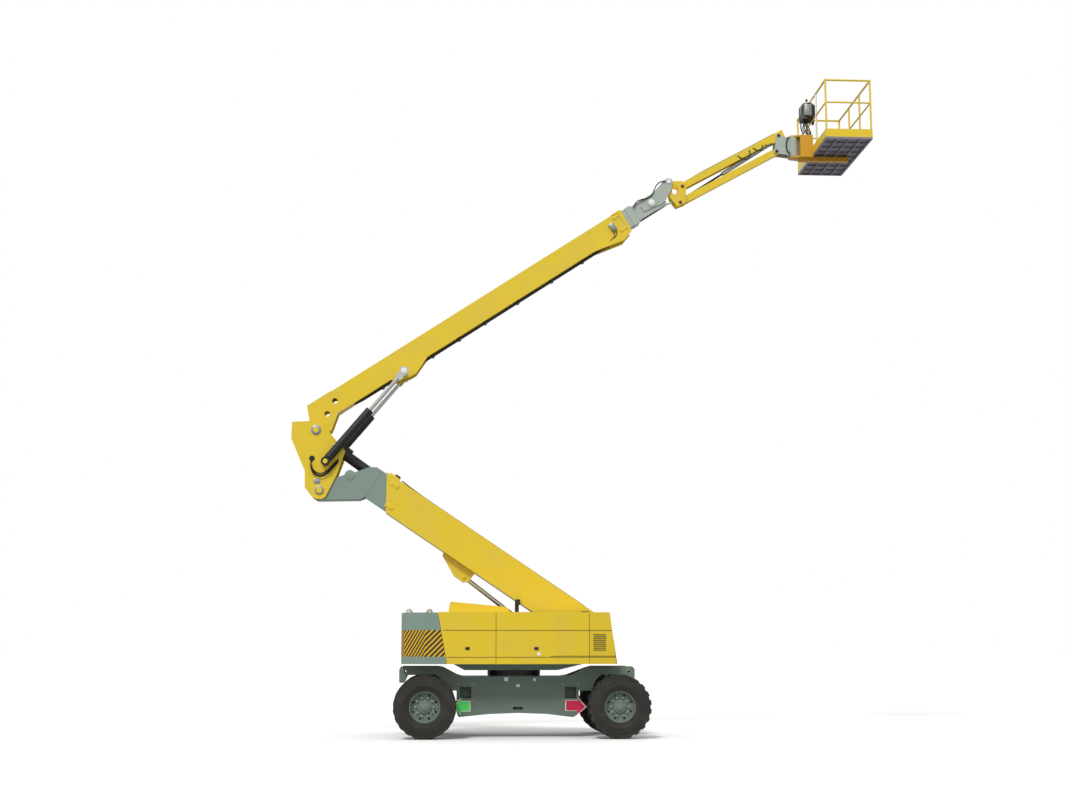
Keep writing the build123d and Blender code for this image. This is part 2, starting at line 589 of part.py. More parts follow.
def arm_barrel():
    """Barrel of the arm's cylinder, from its base eye to its gland."""
    frame = along(ARM_CYL_BASE, direction(ARM_CYL_BASE, ARM_CYL_PIN))
    body = rod_x(0, 0, ARM_CYL_RADIUS, 135, ARM_BARREL_LENGTH)
    body -= rod_x(0, 0, ARM_ROD_RADIUS + PIN_FIT, 200, ARM_BARREL_LENGTH + 5)
    body += rod_y(0, 0, 70, -70, 70) + box(0, 150, -55, 55, -60, 60)
    body -= rod_y(0, 0, 35 + PIN_FIT, -80, 80)
    return frame * body


def arm_rod():
    """Rod of the arm's cylinder, with its eye between the arm's lugs."""
    frame = along(ARM_CYL_BASE, direction(ARM_CYL_BASE, ARM_CYL_PIN))
    length = distance(ARM_CYL_BASE, ARM_CYL_PIN)
    body = rod_x(0, 0, ARM_ROD_RADIUS, 590, length - 40)
    body += rod_y(length, 0, ARM_EYE_RADIUS, -62 + SEAT, 62 - SEAT)
    return frame * body


def boom_knuckle():
    """Upright knuckle: two side plates joined by tubes and a back plate, with its pins."""
    outline = [(-4259, 5906), (-3929, 5922), (-3700, 5860), (-3535, 5703), (-3395, 5525), (-3236, 5346), (-3297, 5169),
               (-3400, 4883), (-3600, 4470), (-3660, 4432), (-3780, 4432), (-3860, 4480), (-3992, 4650), (-3999, 4967),
               (-4268, 5586)]
    y0, y1 = KNUCKLE_Y, KNUCKLE_Y + KNUCKLE_THICK
    body = pair(outline, y0, y1)
    kx, kz = KNUCKLE_PIVOT
    bx, bz = BOOM_PIVOT
    body += rod_y(kx, kz, 55, -y1 - 25, y1 + 25)
    body += rod_y(bx, bz, 50, -y1 - 25, y1 + 25)
    body += rod_y(-4090, 5420, 60, -y0 - 1, y0 + 1)
    body += box(-4250, -4230, -y0 - 1, y0 + 1, 5600, 5860)
    cx, cz = BOOM_CYL_BASE
    for side in (-1, 1):
        a, b = sorted((side * (y0 + 1), side * (BOOM_CYL_Y + 60)))
        body += rod_y(cx, cz, 45, a, b)
        c, d = sorted((side * (y1 - 1), side * (BOOM_CYL_Y - BOOM_EYE_WIDTH / 2 - SEAT)))
        body += rod_y(cx, cz, 75, c, d)
    lx, lz = LEVEL_CYL_BASE
    body += rod_y(lx, lz, 40, -y0 - 1, y0 + 1)
    return body


def level_barrel():
    """Barrel of the cylinder that keeps the knuckle upright."""
    frame = along(LEVEL_CYL_BASE, LEVEL_CYL_ANGLE)
    body = rod_x(0, 0, LEVEL_CYL_RADIUS, 70, LEVEL_BARREL_LENGTH)
    body -= rod_x(0, 0, LEVEL_ROD_RADIUS + PIN_FIT, 110, LEVEL_BARREL_LENGTH + 5)
    body += rod_y(0, 0, 75, -70, 70)
    body += box(150, 320, -60, 60, 90, 150)
    body -= rod_y(0, 0, 40 + PIN_FIT, -90, 90)
    return frame * body


def level_rod():
    """Rod of the knuckle's cylinder, with its eye inside the extension."""
    frame = along(LEVEL_CYL_BASE, LEVEL_CYL_ANGLE)
    body = rod_x(0, 0, LEVEL_ROD_RADIUS, 620, LEVEL_CYL_LENGTH - 40)
    body += rod_y(LEVEL_CYL_LENGTH, 0, 70, -55, 55)
    return frame * body


def boom_outer():
    """Outer boom section: tube, deep rear plates with two round holes, lugs and end collar."""
    low, high = BOOM_BOTTOM, BOOM_BOTTOM + BOOM_DEPTH
    tube = tube_section(420, BOOM_END - 20, BOOM_WIDTH, low, high, BOOM_WALL)
    half = BOOM_WIDTH / 2
    cheek = [(-16, 215), (103, high + 8), (640, high + 8), (640, low), (534, low), (250, -150), (120, -170), (60, -120),
             (-90, -40), (-100, 40)]
    cheeks = pair(cheek, half, half + 28)
    for s, t in ((603, 294), (345, 160)):
        cheeks -= rod_y(s, t, 54, -400, 400)
        tube -= rod_y(s, t, 54, -400, 400)
    cheeks += rod_y(0, 0, 100, -KNUCKLE_Y + GAP, KNUCKLE_Y - GAP)
    cheeks += box(100, 430, -half - 1, half + 1, high - 10, high)
    cheeks += box(240, 430, -half - 1, half + 1, low - 60, low - 40)
    body = tube + cheeks
    s, t = BOOM_CYL_PIN_ALONG, BOOM_CYL_PIN_UP
    lug = [(s - 290, low + 2), (s - 220, low - 72), (s + 40, low - 150), (s + 190, low - 158), (s + 560, low + 2)]
    body += pair(lug, half - 22, half)
    eye = BOOM_CYL_Y - BOOM_EYE_WIDTH / 2 - SEAT
    body += rod_y(s, t, 60, half - 20, eye) + rod_y(s, t, 60, -eye, -half + 20)
    collar = [(6400, low + 5), (7090, low - 125), (7320, low - 50), (7365, high - 5), (7310, high + 12), (7150, high + 12),
              (7150, high - 4), (7280, high - 30), (7280, low + 5)]
    body += pair(collar, half - 1, half + 12)
    body += box(7090, 7320, -half, half, low - 30, low + 1)
    pad = (MID_WIDTH / 2 - 40)
    centre = low + BOOM_DEPTH / 2
    body += box(BOOM_END - 230, BOOM_END - 30, -pad, pad, low + BOOM_WALL - 1, centre - MID_DEPTH / 2 - SEAT)
    body += box(BOOM_END - 230, BOOM_END - 30, -pad, pad, centre + MID_DEPTH / 2 + SEAT, high - BOOM_WALL + 1)
    body -= rod_y(0, 0, 50 + PIN_FIT, -300, 300)
    return BOOM * body


def boom_mid():
    """Middle boom section with its end collar and wear pads."""
    centre = BOOM_BOTTOM + BOOM_DEPTH / 2
    low, high = centre - MID_DEPTH / 2, centre + MID_DEPTH / 2
    body = tube_section(MID_REAR, MID_END, MID_WIDTH, low, high, MID_WALL)
    collar = tube_section(MID_END - 130, MID_END, MID_WIDTH + 16, low - 8, high + 8, 9)
    body += collar
    pad = FLY_WIDTH / 2 - 30
    body += box(MID_END - 200, MID_END - 10, -pad, pad, low + MID_WALL - 1, centre - FLY_DEPTH / 2 - SEAT)
    body += box(MID_END - 200, MID_END - 10, -pad, pad, centre + FLY_DEPTH / 2 + SEAT, high - MID_WALL + 1)
    rear_pad = MID_WIDTH / 2 - 40
    outer_low, outer_high = BOOM_BOTTOM + BOOM_WALL, BOOM_BOTTOM + BOOM_DEPTH - BOOM_WALL
    body += box(MID_REAR + 10, MID_REAR + 190, -rear_pad, rear_pad, high - 1, outer_high - SEAT)
    body += box(MID_REAR + 10, MID_REAR + 190, -rear_pad, rear_pad, outer_low + SEAT, low + 1)
    return BOOM * body


def boom_fly():
    """Inner boom section with the fork that holds the jib."""
    centre = BOOM_BOTTOM + BOOM_DEPTH / 2
    low, high = centre - FLY_DEPTH / 2, centre + FLY_DEPTH / 2
    half = FLY_WIDTH / 2
    body = tube_section(FLY_REAR, FLY_END, FLY_WIDTH, low, high, FLY_WALL)
    body -= box(7640, FLY_END + 5, -92, 92, low - 5, low + FLY_WALL + 5)
    body -= box(FLY_END - 160, FLY_END + 5, -half + FLY_WALL, half - FLY_WALL, low - 5, low + FLY_WALL + 5)
    js, jt = JIB_PIVOT_ALONG, JIB_PIVOT_UP
    fork = [(7750, centre - 60), (7750, centre + 60), (8120, high), (js - 60, jt + 70), (js + 20, jt + 72), (js + 75, jt + 20),
            (js + 70, jt - 40), (js - 60, jt - 170), (FLY_END, low + 60), (8150, low + 40)]
    body += pair(fork, half - 1, half + FORK_THICK)
    body += rod_y(7982, centre + 10, 92, half - 1, half + FORK_THICK + 12)
    body += rod_y(7982, centre + 10, 92, -half - FORK_THICK - 12, -half + 1)
    body += rod_y(js, jt, 30, LINK_Y - 30, half + FORK_THICK + 10) + rod_y(js, jt, 30, -half - FORK_THICK - 10, -LINK_Y + 30)
    bs, bt = js - TIP_CYL_BACK, jt + TIP_CYL_UP
    body += rod_y(bs, bt, 20, -half + 1, half - 1)
    mid_low, mid_high = centre - MID_DEPTH / 2 + MID_WALL, centre + MID_DEPTH / 2 - MID_WALL
    pad = FLY_WIDTH / 2 - 30
    body += box(FLY_REAR + 10, FLY_REAR + 160, -pad, pad, high - 1, mid_high - SEAT)
    body += box(FLY_REAR + 10, FLY_REAR + 160, -pad, pad, mid_low + SEAT, low + 1)
    return BOOM * body


def boom_barrels():
    """The two barrels of the boom's lift cylinders, one outside each knuckle plate."""
    frame = along(BOOM_CYL_BASE, direction(BOOM_CYL_BASE, BOOM_CYL_PIN))
    y = BOOM_CYL_Y
    body = rod_x(y, 0, BOOM_CYL_RADIUS, 90, BOOM_BARREL_LENGTH)
    body -= rod_x(y, 0, BOOM_ROD_RADIUS + PIN_FIT, 200, BOOM_BARREL_LENGTH + 5)
    body += rod_y(0, 0, 84, y - BOOM_EYE_WIDTH / 2, y + BOOM_EYE_WIDTH / 2)
    body += box(0, 110, y - 50, y + 50, -72, 72)
    body -= rod_y(0, 0, 45 + PIN_FIT, y - 80, y + 80)
    return frame * (body + body.mirror(Plane.XZ))


def boom_rods():
    """The two rods of the boom's lift cylinders, with their eyes beside the boom."""
    frame = along(BOOM_CYL_BASE, direction(BOOM_CYL_BASE, BOOM_CYL_PIN))
    length = distance(BOOM_CYL_BASE, BOOM_CYL_PIN)
    y = BOOM_CYL_Y
    body = rod_x(y, 0, BOOM_ROD_RADIUS, 515, length - 60)
    body += box(length - 190, length, y - 50, y + 50, -60, 60)
    body += rod_y(length, 0, 88, y - BOOM_EYE_WIDTH / 2, y + BOOM_EYE_WIDTH / 2)
    body += rod_y(length, 0, 60, y, y + BOOM_EYE_WIDTH / 2 + 22)
    return frame * (body + body.mirror(Plane.XZ))


def tip_link():
    """Levelled link at the boom's tip that carries both beams of the jib."""
    outline = [(-48, 35), (0, 56), (52, 30), (78, -20), (245, -105), (290, -170), (262, -265), (150, -440), (95, -530), (-96, -512),
               (-100, -470), (-128, -310), (-97, -182), (-66, -40)]
    y0, y1 = LINK_Y, LINK_Y + LINK_THICK
    body = pair(outline, y0, y1) + rod_y(0, 0, 46, -y0 - 1, y0 + 1)
    body -= plate([(48, -95), (130, -182), (15, -320), (-48, -225)], -200, 200)
    body -= rod_y(0, 0, 30 + PIN_FIT, -200, 200)
    for s, t in ((JIB_PIN_ALONG, JIB_PIN_UP), (LOWER_PIN_ALONG, LOWER_PIN_UP)):
        depth = 20 if t > -300 else 38
        body += rod_y(s, t, LINK_PIN_RADIUS, y0 - depth, y1 + 6) + rod_y(s, t, LINK_PIN_RADIUS, -y1 - 6, -y0 + depth)
    return JIB * body


def jib_upper():
    """Upper beam of the jib: a channel open below, pinned to both levelled links."""
    y0, y1 = UPPER_Y, UPPER_Y + CHANNEL_WALL
    end = JIB_LENGTH + 125
    outline = [(-45, -40), (-55, 0), (-35, 50), (20, 75), (end, 80), (end - 20, -120), (JIB_LENGTH - 60, -60), (30, -56)]
    body = pair(outline, y0, y1)
    body += box(120, JIB_LENGTH - 75, -y0 - 1, y0 + 1, 66, 75)
    for s in (0, JIB_LENGTH):
        body -= rod_y(s, 0, LINK_PIN_RADIUS + PIN_FIT, -200, 200)
    body -= rod_y(JIB_LENGTH - 324, -69, 32, -200, 200)
    s, t = JIB_LENGTH - JIB_CYL_BACK, JIB_CYL_DROP
    body += pair([(s - 50, -50), (s - 40, t - 40), (s + 40, t - 40), (s + 60, -50)], y0, y1)
    body += rod_y(s, t, 20, -y0 - 1, y0 + 1)
    return UPPER * body


def jib_lower():
    """Lower beam of the jib: a channel open on top."""
    y0, y1 = LOWER_Y, LOWER_Y + CHANNEL_WALL
    end = JIB_LENGTH + 140
    outline = [(-50, -20), (-30, 50), (30, 78), (JIB_LENGTH - 100, 75), (end, 45), (end - 40, -55), (-30, -55)]
    body = pair(outline, y0, y1)
    body += box(1900, JIB_LENGTH, -y0 - 1, y0 + 1, -55, -47)
    body += box(330, 1950, 48, y0 + 1, -55, -47) + box(330, 1950, -y0 - 1, -48, -55, -47)
    for s in (0, JIB_LENGTH):
        body -= rod_y(s, 0, LINK_PIN_RADIUS + PIN_FIT, -200, 200)
    return LOWER * body


def jib_barrel():
    """Barrel of the jib's cylinder, between the two beams."""
    frame = along(JIB_CYL_BASE, direction(JIB_CYL_BASE, JIB_CYL_PIN))
    y = JIB_CYL_Y
    body = rod_x(y, 0, JIB_CYL_RADIUS, 50, JIB_BARREL_LENGTH)
    body -= rod_x(y, 0, JIB_ROD_RADIUS + PIN_FIT, 100, JIB_BARREL_LENGTH + 5)
    body += rod_y(0, 0, 40, y - 36, y + 36) + box(0, 60, y - 35, y + 35, -36, 36)
    body -= rod_y(0, 0, 20 + PIN_FIT, -60, 60)
    return frame * body


def jib_rod():
    """Rod of the jib's cylinder, with its eye between the tip link's plates."""
    frame = along(JIB_CYL_BASE, direction(JIB_CYL_BASE, JIB_CYL_PIN))
    length = distance(JIB_CYL_BASE, JIB_CYL_PIN)
    y = JIB_CYL_Y
    body = rod_x(y, 0, JIB_ROD_RADIUS, 450, length - 20)
    body += rod_y(length, 0, 34, y - JIB_ROD_RADIUS, y + JIB_ROD_RADIUS)
    return frame * body


def tip_barrel():
    """Barrel of the tip link's levelling cylinder, inside the inner boom section."""
    frame = along(TIP_CYL_BASE, direction(TIP_CYL_BASE, TIP_CYL_PIN))
    y = TIP_CYL_Y
    body = rod_x(y, 0, TIP_CYL_RADIUS, 50, TIP_BARREL_LENGTH)
    body -= rod_x(y, 0, TIP_ROD_RADIUS + PIN_FIT, 100, TIP_BARREL_LENGTH + 5)
    body += rod_y(0, 0, 40, y - 31, y + 31) + box(0, 60, y - 30, y + 30, -34, 34)
    body -= rod_y(0, 0, 20 + PIN_FIT, -100, 100)
    return frame * body


def tip_rod():
    """Rod of the tip link's levelling cylinder."""
    frame = along(TIP_CYL_BASE, direction(TIP_CYL_BASE, TIP_CYL_PIN))
    length = distance(TIP_CYL_BASE, TIP_CYL_PIN)
    y = TIP_CYL_Y
    body = rod_x(y, 0, TIP_ROD_RADIUS, 380, length - 20)
    body += rod_y(length, 0, 32, y - TIP_ROD_RADIUS, y + TIP_ROD_RADIUS)
    return frame * body


def jib_head():
    """Head at the jib's outer end: link plates and the housing of the basket's rotator."""
    x, z = UPPER_END
    lx, lz = LOWER_END
    y0, y1 = LINK_Y, LINK_Y + LINK_THICK
    outline = [(x - 45, z + 20), (x, z + 46), (x + 48, z + 8), (ROTATOR_X - 185, HEAD_TOP - 10), (ROTATOR_X - 60, HEAD_TOP - 10),
               (ROTATOR_X - 60, HEAD_BOTTOM + 10), (lx + 60, lz - 50), (lx, lz - 52), (lx - 48, lz - 15), (lx - 48, lz + 20)]
    body = pair(outline, y0, y1)
    for px, pz, depth in ((x, z, 20), (lx, lz, 38)):
        body += rod_y(px, pz, LINK_PIN_RADIUS, y0 - depth, y1 + 6) + rod_y(px, pz, LINK_PIN_RADIUS, -y1 - 6, -y0 + depth)
    body += rod_z(ROTATOR_X, 0, 118, HEAD_BOTTOM, HEAD_TOP)
    body += box(ROTATOR_X - 90, ROTATOR_X - 60, -y1, y1, HEAD_BOTTOM + 10, HEAD_TOP - 10)
    body -= rod_z(ROTATOR_X, 0, 60 + PIN_FIT, HEAD_BOTTOM - 200, HEAD_TOP + 200)
    return body


def basket_mount():
    """Yoke on the rotator and the beam that carries the basket's floor."""
    top = HEAD_TOP + SEAT
    bottom = HEAD_BOTTOM - SEAT
    body = rod_z(ROTATOR_X, 0, 60, bottom - 20, top + 20)
    outline = [(ROTATOR_X - 70, -90), (ROTATOR_X + 60, -130), (BASKET_X - 30, -170), (BASKET_X - 30, 170), (ROTATOR_X + 60, 130),
               (ROTATOR_X - 70, 90)]
    body += slab(outline, top, top + 28)
    body += slab(outline, bottom - 28, bottom)
    body += box(ROTATOR_X + 130, BASKET_X - 2, -170, 170, bottom - 28, top + 28)
    body += box(ROTATOR_X + 135, BASKET_X + BASKET_DEPTH * 0.8, -60, 60, BASKET_FLOOR - 90, BASKET_FLOOR - SEAT)
    return body


def basket_floor():
    """Floor grating: a frame with bearing bars along the basket and cross bars."""
    x0, x1 = BASKET_X, BASKET_X + BASKET_DEPTH
    half = BASKET_LENGTH / 2
    z = BASKET_FLOOR
    body = box(x0, x1, -half, half, z, z + 40)
    body -= box(x0 + 40, x1 - 40, -half + 40, half - 40, z - 1, z + 41)
    body += box(x0 + 39, x1 - 39, -half + 39, half - 39, z + 30, z + 38)
    for i in range(1, 4):
        x = x0 + BASKET_DEPTH * i / 4
        body += box(x - 15, x + 15, -half + 39, half - 39, z, z + 31)
    for i in range(1, 8):
        y = -half + BASKET_LENGTH * i / 8
        body += box(x0 + 39, x1 - 39, y - 12, y + 12, z + 4, z + 31)
    return body


def basket_rails():
    """Kick plates, posts and two rails round the basket, with a gap for the entry bar."""
    x0, x1 = BASKET_X, BASKET_X + BASKET_DEPTH
    half = BASKET_LENGTH / 2
    z = BASKET_FLOOR + 40 + SEAT
    body = box(x0, x1, -half, half, z, z + KICK_HEIGHT)
    body -= box(x0 + 5, x1 - 5, -half + 5, half - 5, z - 1, z + KICK_HEIGHT + 1)
    r = RAIL_RADIUS
    xa, xb, ya = x0 + r, x1 - r, half - r
    top = BASKET_RAIL - r
    for x in (xa, xb):
        for y in (-ya, -ya / 3, ya / 3, ya):
            body += rod_z(x, y, r, z + KICK_HEIGHT - 60, top)
    for x in (xa, xb):
        body += rod_y(x, top, r + 1, -half, half) + rod_y(x, MID_RAIL, r - 3, -ya, ya)
    for y in (-ya, ya):
        body += rod_x(y, top, r + 0.5, x0, x1)
    body += rod_x(-ya, MID_RAIL, r - 3, xa, xb)
    return body


def entry_bar():
    """Sliding bar across the entry at the far end, with a collar on each post."""
    r = RAIL_RADIUS
    xa, xb = BASKET_X + r, BASKET_X + BASKET_DEPTH - r
    y = BASKET_LENGTH / 2 - r
    body = rod_x(y, MID_RAIL + 60, r - 3, xa, xb)
    for x in (xa, xb):
        body += rod_z(x, y, r + 7, MID_RAIL + 24, MID_RAIL + 100)
    for x in (xa, xb):
        body -= rod_z(x, y, r + PIN_FIT, MID_RAIL - 200, MID_RAIL + 200)
    return body


def console():
    """Control console at the rail on the jib's side."""
    x, half = BASKET_X, 190.0
    box_body = plate([(x - 190, 12180), (x + 60, 12180), (x + 60, 12420), (x - 40, 12500), (x - 190, 12470)], -half, half)
    leg = box(x + 2 * RAIL_RADIUS - 3 + SEAT, x + 60, -60, 60, 12100, 12200)
    return box_body + leg


def main():
    parts = {
        "chassis_frame": chassis_frame(),
        "chassis_side_right": chassis_side(-1),
        "chassis_side_left": chassis_side(1),
        "slew_ring": slew_ring(),
        "front_axle": axle(FRONT_AXLE_X, 1),
        "rear_axle": axle(REAR_AXLE_X, -1),
        "front_steer_rod": steer_rod(FRONT_AXLE_X, 1),
        "rear_steer_rod": steer_rod(REAR_AXLE_X, -1),
        "turntable_bed": turntable_bed(),
        "counterweight": counterweight(),
        "engine_block": engine_block(),
        "fluid_tanks": fluid_tanks(),
        "exhaust": exhaust(),
        "lower_arm": lower_arm(),
        "arm_extension": arm_extension(),
        "arm_barrel": arm_barrel(),
        "arm_rod": arm_rod(),
        "boom_knuckle": boom_knuckle(),
        "level_barrel": level_barrel(),
        "level_rod": level_rod(),
        "boom_outer": boom_outer(),
        "boom_mid": boom_mid(),
        "boom_fly": boom_fly(),
        "boom_barrels": boom_barrels(),
        "boom_rods": boom_rods(),
        "tip_link": tip_link(),
        "tip_barrel": tip_barrel(),
        "tip_rod": tip_rod(),
        "jib_upper": jib_upper(),
        "jib_lower": jib_lower(),
        "jib_barrel": jib_barrel(),
        "jib_rod": jib_rod(),
        "jib_head": jib_head(),
        "basket_mount": basket_mount(),
        "basket_floor": basket_floor(),
        "basket_rails": basket_rails(),
        "entry_bar": entry_bar(),
        "console": console(),
    }
    near = cowl()
    parts["cowl_right"] = near
    parts["cowl_left"] = near.mirror(Plane.XZ)
    one_tyre, one_rim = tyre(), rim()
    for x_sign in (-1, 1):
        knuckle = steer_knuckle(x_sign)
        for y_sign in (-1, 1):
            name = corner_name(x_sign, y_sign)
            parts["tyre_" + name] = at_wheel(one_tyre, x_sign, y_sign)
            parts["rim_" + name] = at_wheel(one_rim, x_sign, y_sign)
            parts["steer_knuckle_" + name] = at_wheel(knuckle, x_sign, y_sign)
    for name, shape in parts.items():
        export_step(shape, "parts/" + name + ".step")


if __name__ == "__main__":
    main()
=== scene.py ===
"""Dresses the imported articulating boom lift: paint, tyres, hoses, pins, markings and the stage.

Lengths are metres in the shared frame, or in the frame of the arm, boom or jib where a piece names one.
"""
import json
import math

import bpy
from bpy.props import FloatProperty, FloatVectorProperty, PointerProperty
from mathutils import Matrix, Vector


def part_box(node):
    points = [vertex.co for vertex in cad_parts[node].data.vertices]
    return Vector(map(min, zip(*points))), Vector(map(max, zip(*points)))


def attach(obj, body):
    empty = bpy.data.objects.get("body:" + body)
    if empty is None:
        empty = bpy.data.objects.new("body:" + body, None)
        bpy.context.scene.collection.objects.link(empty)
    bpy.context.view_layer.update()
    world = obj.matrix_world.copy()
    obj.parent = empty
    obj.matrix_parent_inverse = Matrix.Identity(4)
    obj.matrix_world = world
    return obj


bl_info = {
    "name": "Boom lift dressing",
    "version": (1, 0, 0),
    "blender": (4, 5, 0),
    "location": "View3D > Sidebar > Boom Lift",
    "description": "Paint, tyres, hoses, pins and markings for an articulating boom lift",
    "category": "Object",
}

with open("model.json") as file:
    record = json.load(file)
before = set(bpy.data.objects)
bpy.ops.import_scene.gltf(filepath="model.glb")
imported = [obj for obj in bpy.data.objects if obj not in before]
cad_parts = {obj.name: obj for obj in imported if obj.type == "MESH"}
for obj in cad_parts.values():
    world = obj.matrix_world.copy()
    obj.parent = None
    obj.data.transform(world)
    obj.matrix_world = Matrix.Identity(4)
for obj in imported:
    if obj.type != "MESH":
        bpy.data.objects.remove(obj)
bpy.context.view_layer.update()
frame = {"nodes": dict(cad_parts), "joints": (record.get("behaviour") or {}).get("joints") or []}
joints = {joint["name"]: joint for joint in frame["joints"]}

MM = 0.001
CORNERS = ("front_left", "front_right", "rear_left", "rear_right")
SIDES = (1, -1)
NAMED_SIDES = ((-1, "right"), (1, "left"))
EXTEND = Vector(joints["boom_extend"]["axis"])
ARM_OUT = Vector(joints["arm_extend"]["axis"])


def linear(code):
    """An sRGB hex code as linear colour with alpha."""
    channels = [int(code[i:i + 2], 16) / 255 for i in (1, 3, 5)]
    return [c / 12.92 if c <= 0.04045 else ((c + 0.055) / 1.055) ** 2.4 for c in channels] + [1.0]


def pivot(joint_name):
    """Where a joint's pin lies."""
    return Vector(joints[joint_name]["pos_m"])


def place(joint_name, along):
    """Frame at a joint's pin: X runs along the member, Z is its upper side."""
    forward = Vector(along).normalized()
    side = Vector((0, 1, 0)) if forward.x > 0 else Vector((0, -1, 0))
    up = forward.cross(side)
    turn = Matrix((forward, side, up)).transposed().to_4x4()
    return Matrix.Translation(pivot(joint_name)) @ turn


BOOM = place("boom_lift", EXTEND)
ARM = place("arm_lift", ARM_OUT)
UPPER = place("jib_lift", pivot("jib_head_pin") - pivot("jib_lift"))
WORLD = Matrix.Identity(4)


class LiftPaint(bpy.types.PropertyGroup):
    """Colours of the boom lift's paint and markings."""

    yellow: FloatVectorProperty(name="Yellow", description="Paint of the arms, cowls and basket",
                                subtype="COLOR", size=4, default=linear("#EBCB1C"))
    grey_green: FloatVectorProperty(name="Grey green", description="Paint of the weight and the inner arm",
                                    subtype="COLOR", size=4, default=linear("#82978C"))
    chassis: FloatVectorProperty(name="Chassis", description="Paint of the chassis", subtype="COLOR", size=4,
                                 default=linear("#6C7E70"))
    boom_grey: FloatVectorProperty(name="Boom grey", description="Paint of the boom's inner sections",
                                   subtype="COLOR", size=4, default=linear("#AEB9AE"))


class LiftSizes(bpy.types.PropertyGroup):
    """Sizes that a user may change."""

    hose: FloatProperty(name="Hose", description="Outside diameter of a hydraulic hose", unit="LENGTH",
                        default=0.022)
    stripe: FloatProperty(name="Stripe", description="Pitch of the warning stripes", unit="LENGTH",
                          default=0.098)


def paint():
    """The colours that are set now."""
    return bpy.context.scene.lift_paint


def sizes():
    """The sizes that are set now."""
    return bpy.context.scene.lift_sizes


# Materials

STRIPE_BAND = (1.479, 1.961)
SIGNAL_YELLOW = linear("#E0B01C")
SIGNAL_BLACK = linear("#23221F")
TYRE_BLACK = linear("#2B2A26")
TYRE_DUST = linear("#403D36")

finishes = {}


def add(tree, kind, links=(), **settings):
    """Adds a node with its settings, and links other nodes' outputs to its inputs."""
    node = tree.nodes.new(kind)
    for name, value in settings.items():
        if hasattr(node, name):
            setattr(node, name, value)
        else:
            node.inputs[name.replace("_", " ")].default_value = value
    for target, source in links:
        tree.links.new(source, node.inputs[target])
    return node


def feed(tree, node, target, value):
    """Links an output to an input, or sets the input to a value."""
    if isinstance(value, bpy.types.NodeSocket):
        tree.links.new(value, node.inputs[target])
    else:
        node.inputs[target].default_value = value


def calculate(tree, operation, first, second=None):
    """One step of arithmetic on an output, with a second output or a number."""
    node = add(tree, "ShaderNodeMath", [(0, first)], operation=operation)
    if second is not None:
        feed(tree, node, 1, second)
    return node.outputs[0]


def mixed(tree, factor, first, second):
    """The first colour at 0 and the second at 1."""
    node = add(tree, "ShaderNodeMix", [("Factor", factor)], data_type="RGBA")
    feed(tree, node, 6, first)
    feed(tree, node, 7, second)
    return node.outputs[2]


def new_material(name, colour, roughness, metallic=0.0):
    """A material with its shader; what is the same all over is set on the shader's own sockets."""
    material = bpy.data.materials.new(name)
    material.use_nodes = True
    tree = material.node_tree
    shader = tree.nodes["Principled BSDF"]
    shader.inputs["Base Color"].default_value = colour
    shader.inputs["Roughness"].default_value = roughness
    shader.inputs["Metallic"].default_value = metallic
    if not metallic:
        shader.inputs["IOR"].default_value = 1.5
    finishes[name] = material
    return tree, shader


def grain(tree, cell_mm, detail=3.0):
    """Noise whose cells are about this many millimetres across, on object coordinates."""
    where = add(tree, "ShaderNodeTexCoord").outputs["Object"]
    noise = add(tree, "ShaderNodeTexNoise", [("Vector", where)], Scale=1 / (cell_mm * MM), Detail=detail)
    return noise.outputs["Fac"]


def blotch(tree, shader, colour, other, noise, low, high):
    """Mixes two colours by a noise between two of its levels."""
    ramp = add(tree, "ShaderNodeMapRange", [("Value", noise)], From_Min=low, From_Max=high)
    tree.links.new(mixed(tree, ramp.outputs["Result"], colour, other), shader.inputs["Base Color"])


def uneven_gloss(tree, shader, noise, low, high):
    """Lets the roughness wander between two values by a noise."""
    ramp = add(tree, "ShaderNodeMapRange", [("Value", noise)], To_Min=low, To_Max=high)
    tree.links.new(ramp.outputs["Result"], shader.inputs["Roughness"])


def bump(tree, shader, noise, strength, height_mm):
    """Raises the surface by a noise."""
    height = add(tree, "ShaderNodeBump", [("Height", noise)], Strength=strength, Distance=height_mm * MM)
    tree.links.new(height.outputs["Normal"], shader.inputs["Normal"])


def booth_paint(name, colour, roughness=0.34):
    """Two-pack paint on welded steel: a soft gloss that orange peel breaks up and a film of dust dulls."""
    tree, shader = new_material(name, colour, roughness)
    shader.inputs["Coat Weight"].default_value = 0.25
    shader.inputs["Coat Roughness"].default_value = 0.18
    dusty = [c * 0.9 + 0.03 for c in colour[:3]] + [1.0]
    blotch(tree, shader, colour, dusty, grain(tree, 420, 5.0), low=0.45, high=0.75)
    uneven_gloss(tree, shader, grain(tree, 130, 6.0), roughness - 0.06, roughness + 0.16)
    bump(tree, shader, grain(tree, 9, 2.0), strength=0.06, height_mm=0.6)


